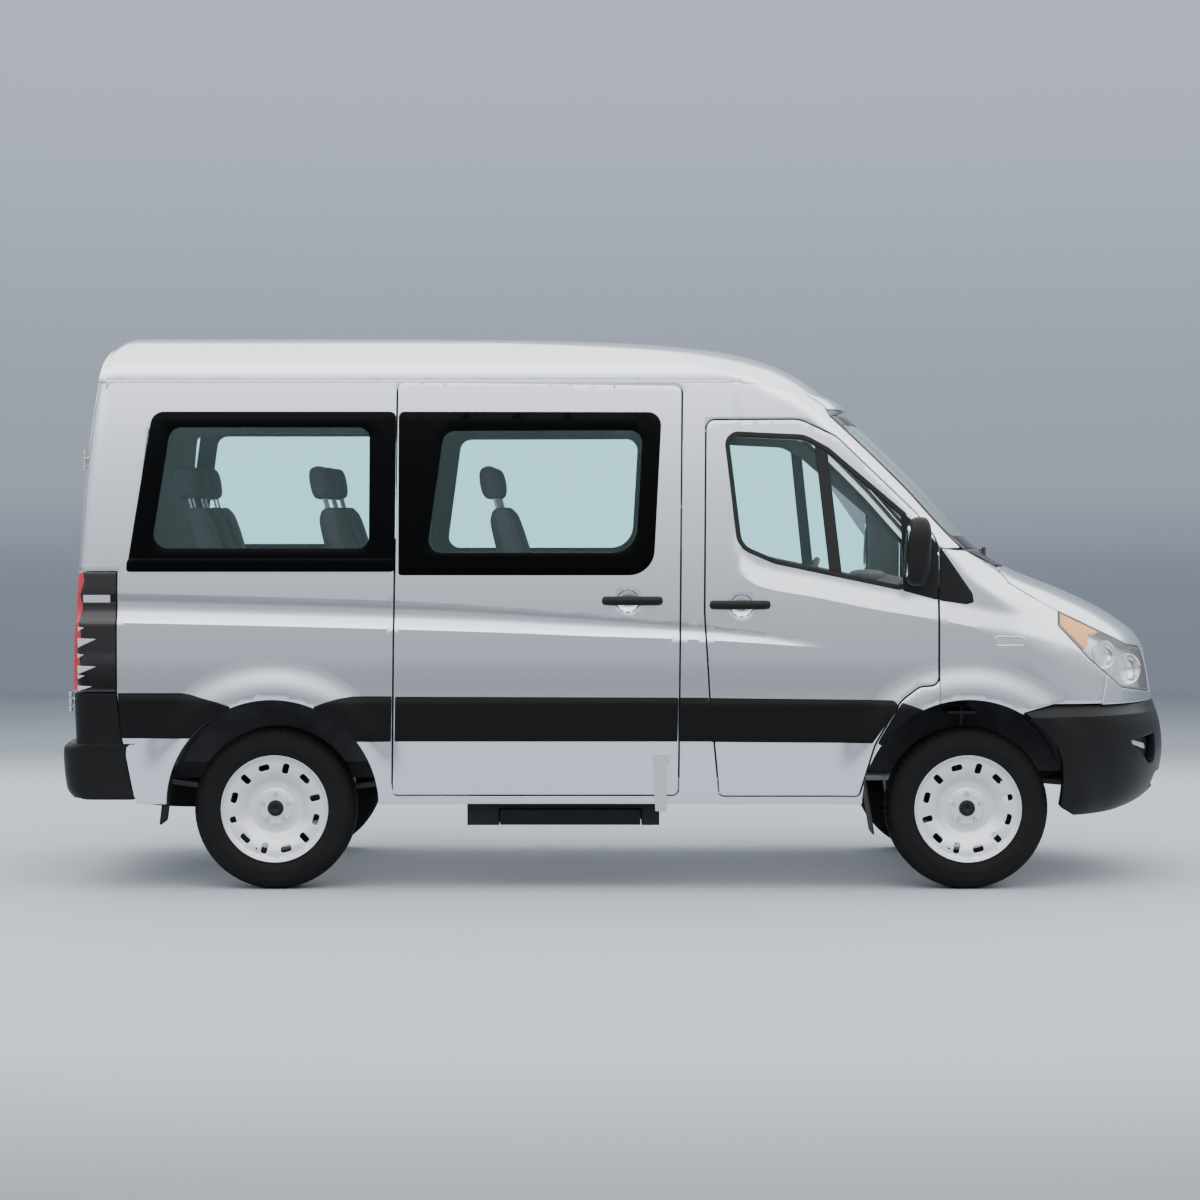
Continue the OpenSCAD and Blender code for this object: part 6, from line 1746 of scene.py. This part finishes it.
class MINIBUS_OT_lamps(bpy.types.Operator):
    """Builds the headlamps and tail lamps"""
    bl_idname = "minibus.lamps"
    bl_label = "Lamps"

    def execute(self, context):
        for label, side in SIDES.items():
            make_lamps(side, label)
            make_tail_lamp(side, label)
        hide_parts("lamps")
        return {"FINISHED"}


class MINIBUS_OT_rear(bpy.types.Operator):
    """Builds the rear doors and the rear bumper"""
    bl_idname = "minibus.rear"
    bl_label = "Rear"

    def execute(self, context):
        for label, side in SIDES.items():
            make_rear_door(side, label)
        make_rear_bumper()
        return {"FINISHED"}


class MINIBUS_OT_trim(bpy.types.Operator):
    """Builds the mouldings, rails, handles and repeaters"""
    bl_idname = "minibus.trim"
    bl_label = "Trim"

    def execute(self, context):
        make_trim()
        return {"FINISHED"}


class MINIBUS_OT_wheels(bpy.types.Operator):
    """Builds the four tyres and wheels"""
    bl_idname = "minibus.wheels"
    bl_label = "Wheels"

    def execute(self, context):
        for label, side in SIDES.items():
            make_wheel(FRONT_AXLE, side, f"wheel_front_{label}", f"front_{label}")
            make_wheel(REAR_AXLE, side, f"wheel_rear_{label}", f"rear_{label}")
        return {"FINISHED"}


class MINIBUS_OT_cabin(bpy.types.Operator):
    """Builds the seats, the dashboard and the steering wheel"""
    bl_idname = "minibus.cabin"
    bl_label = "Cabin"

    def execute(self, context):
        make_seats("front", FRONT_ROW, "front_seats")
        make_seats("rear", BACK_ROWS, "rear_seats")
        make_dashboard()
        return {"FINISHED"}


class MINIBUS_OT_step(bpy.types.Operator):
    """Builds the tread of the sliding step and the mudflaps"""
    bl_idname = "minibus.step"
    bl_label = "Step and flaps"

    def execute(self, context):
        make_step()
        return {"FINISHED"}


def add_light(name, place, aim, size, power, colour=(1, 1, 1)):
    lamp = bpy.data.lights.new(name, "AREA")
    lamp.shape = "RECTANGLE"
    lamp.size, lamp.size_y = size
    lamp.energy = power
    lamp.color = colour
    made = bpy.data.objects.new(name, lamp)
    made.location = place
    made.rotation_euler = (Vector(aim) - Vector(place)).to_track_quat("-Z", "Y").to_euler()
    bpy.context.scene.collection.objects.link(made)


def stage_material(name, axis, stops, reach):
    """A matt material whose colour follows a ramp: over the height on the backdrop, and over the distance from the
    middle on the floor. The ramps paint the stage's light and shade into its colour."""
    made = finish(name, (0.5, 0.5, 0.5), 0.9, specular=0.05)
    tree = made.node_tree
    where = tree.nodes.new("ShaderNodeTexCoord")
    length = tree.nodes.new("ShaderNodeVectorMath")
    length.operation = "MULTIPLY"
    length.inputs[1].default_value = (0, 0, 1) if axis == "height" else (0.55, 1, 0)
    size = tree.nodes.new("ShaderNodeVectorMath")
    size.operation = "LENGTH"
    share = tree.nodes.new("ShaderNodeMath")
    share.operation = "DIVIDE"
    share.inputs[1].default_value = reach
    ramp = tree.nodes.new("ShaderNodeValToRGB")
    ramp.color_ramp.interpolation = "EASE"
    set_ramp(ramp, [(at / reach, colour) for at, colour in stops])
    tree.links.new(where.outputs["Object"], length.inputs[0])
    tree.links.new(length.outputs["Vector"], size.inputs[0])
    tree.links.new(size.outputs["Value"], share.inputs[0])
    tree.links.new(share.outputs["Value"], ramp.inputs["Fac"])
    tree.links.new(ramp.outputs["Color"], tree.nodes["Principled BSDF"].inputs["Base Color"])
    return made


def set_ramp(ramp, stops):
    """The stops of a colour ramp, as (place, colour)."""
    elements = ramp.color_ramp.elements
    while len(elements) < len(stops):
        elements.new(0.5)
    for element, (at, colour) in zip(elements, stops):
        element.position = at
        element.color = (*colour, 1.0)


def make_sky(world):
    """Soft studio light: dark at the horizon, so that upright sides stay calm, and bright from above."""
    world.use_nodes = True
    tree = world.node_tree
    where = tree.nodes.new("ShaderNodeTexCoord")
    parts = tree.nodes.new("ShaderNodeSeparateXYZ")
    ramp = tree.nodes.new("ShaderNodeValToRGB")
    set_ramp(ramp, [(0.0, (0.150, 0.158, 0.170)), (0.12, (0.235, 0.245, 0.262)),
                    (0.26, (0.36, 0.375, 0.40)),
                    (0.36, (0.80, 0.82, 0.84)), (1.0, (1.0, 1.0, 1.0))])
    tree.links.new(where.outputs["Generated"], parts.inputs["Vector"])
    tree.links.new(parts.outputs["Z"], ramp.inputs["Fac"])
    tree.links.new(ramp.outputs["Color"], tree.nodes["Background"].inputs["Color"])
    tree.nodes["Background"].inputs["Strength"].default_value = 3.0


class MINIBUS_OT_stage(bpy.types.Operator):
    """Builds the pale floor, the backdrop, the lights and the camera, with light and shade painted on the floor and
    backdrop and a glowing card behind the windows
    """
    bl_idname = "minibus.stage"
    bl_label = "Stage"

    def execute(self, context):
        sizes = context.scene.minibus_sizes
        pale, mid, dim = (0.37, 0.398, 0.445), (0.175, 0.195, 0.225), (0.13, 0.148, 0.175)
        dark = (0.02, 0.02, 0.02)
        # painted dark reflection: the floor in front of the bus, out of the camera's view, is coloured dark only so
        # that the sides reflect a dark band
        front = grid_mesh("stage_front", [[(-60000, -40000, 0), (60000, -40000, 0)],
            [(-60000, -7500, 0), (60000, -7500, 0)]],
                          [stage_material("stage_front", "distance",
                              [(0, dark), (17.0, dark), (19.0, pale)], 22.0)])
        # painted light: the floor is pale round the bus and darkens with distance, a pool of light set in its colour
        floor = grid_mesh("stage_floor", [[(-60000, -7500, 0), (60000, -7500, 0)],
            [(-60000, 60000, 0), (60000, 60000, 0)]],
                          [stage_material("stage_floor", "distance",
                              [(0, pale), (4.6, pale), (8.0, mid), (12.0, dim)], 14.0)])
        # painted light and shade: the backdrop is darker at the bottom and lighter towards the top, set in its colour
        wall = grid_mesh("stage_wall", [[(-60000, 14000, 0), (60000, 14000, 0)],
            [(-60000, 14000, 7600), (60000, 14000, 7600)]],
                         [stage_material("stage_wall", "height",
                             [(0, (0.185, 0.21, 0.25)), (0.9, (0.185, 0.21, 0.25)),
                              (2.2, (0.30, 0.332, 0.385)),
                                                                 (6.5, (0.435, 0.475, 0.545))], 12.0)])
        world = bpy.data.worlds.new("studio") if context.scene.world is None else context.scene.world
        context.scene.world = world
        make_sky(world)
        add_light("overhead_light", (0.0, -3.0, 7.5), (0, 0.0, 1.0), (12, 6), 120)
        add_light("under_light", (0.0, 0.0, 0.33), (0, 0.0, 0), (4.2, 1.3), 8)
        # painted light: a glowing teal card on the backdrop, seen through the windows, stands in for the bright teal
        # sheen of the glass
        glow_card = grid_mesh("stage_card", [[(-4026, 13900, 939), (2823, 13900, 939)],
                                        [(-4026, 13900, 2603), (1667, 13900, 2603)]],
                         [finish("stage_card", (0.44, 0.95, 1.0), 0.9, specular=0.05, glow=0.85)])
        camera = bpy.data.cameras.new("camera")
        camera.lens = sizes.lens
        camera.sensor_width = 36.0
        camera.sensor_fit = "HORIZONTAL"
        camera.clip_end = 200.0
        view = bpy.data.objects.new("camera", camera)
        view.location = (-0.12, -sizes.camera_distance, sizes.camera_height)
        view.rotation_euler = (math.radians(90 - 1.71), 0.0, 0.0)
        context.scene.collection.objects.link(view)
        context.scene.camera = view
        return {"FINISHED"}


class MINIBUS_PT_panel(bpy.types.Panel):
    """Lists the settings and the pieces in the order they are built"""
    bl_idname = "MINIBUS_PT_panel"
    bl_label = "Minibus"
    bl_space_type = "VIEW_3D"
    bl_region_type = "UI"
    bl_category = "Minibus"

    def draw(self, context):
        layout = self.layout
        for group in (context.scene.minibus_look, context.scene.minibus_sizes):
            for name in group.__annotations__:
                layout.prop(group, name)
        for kind in OPERATORS:
            layout.operator(kind.bl_idname)


OPERATORS = (MINIBUS_OT_materials, MINIBUS_OT_stage, MINIBUS_OT_shell, MINIBUS_OT_doors, MINIBUS_OT_nose,
             MINIBUS_OT_lamps, MINIBUS_OT_rear, MINIBUS_OT_trim, MINIBUS_OT_wheels, MINIBUS_OT_cabin,
             MINIBUS_OT_step)
CLASSES = (MinibusLook, MinibusSizes, *OPERATORS, MINIBUS_PT_panel)


def register():
    for kind in CLASSES:
        bpy.utils.register_class(kind)
    bpy.types.Scene.minibus_look = bpy.props.PointerProperty(type=MinibusLook)
    bpy.types.Scene.minibus_sizes = bpy.props.PointerProperty(type=MinibusSizes)


def unregister():
    del bpy.types.Scene.minibus_sizes
    del bpy.types.Scene.minibus_look
    for kind in reversed(CLASSES):
        bpy.utils.unregister_class(kind)


def main():
    register()
    for kind in OPERATORS:
        group, name = kind.bl_idname.split(".")
        getattr(getattr(bpy.ops, group), name)()


if __name__ == "__main__":
    main()
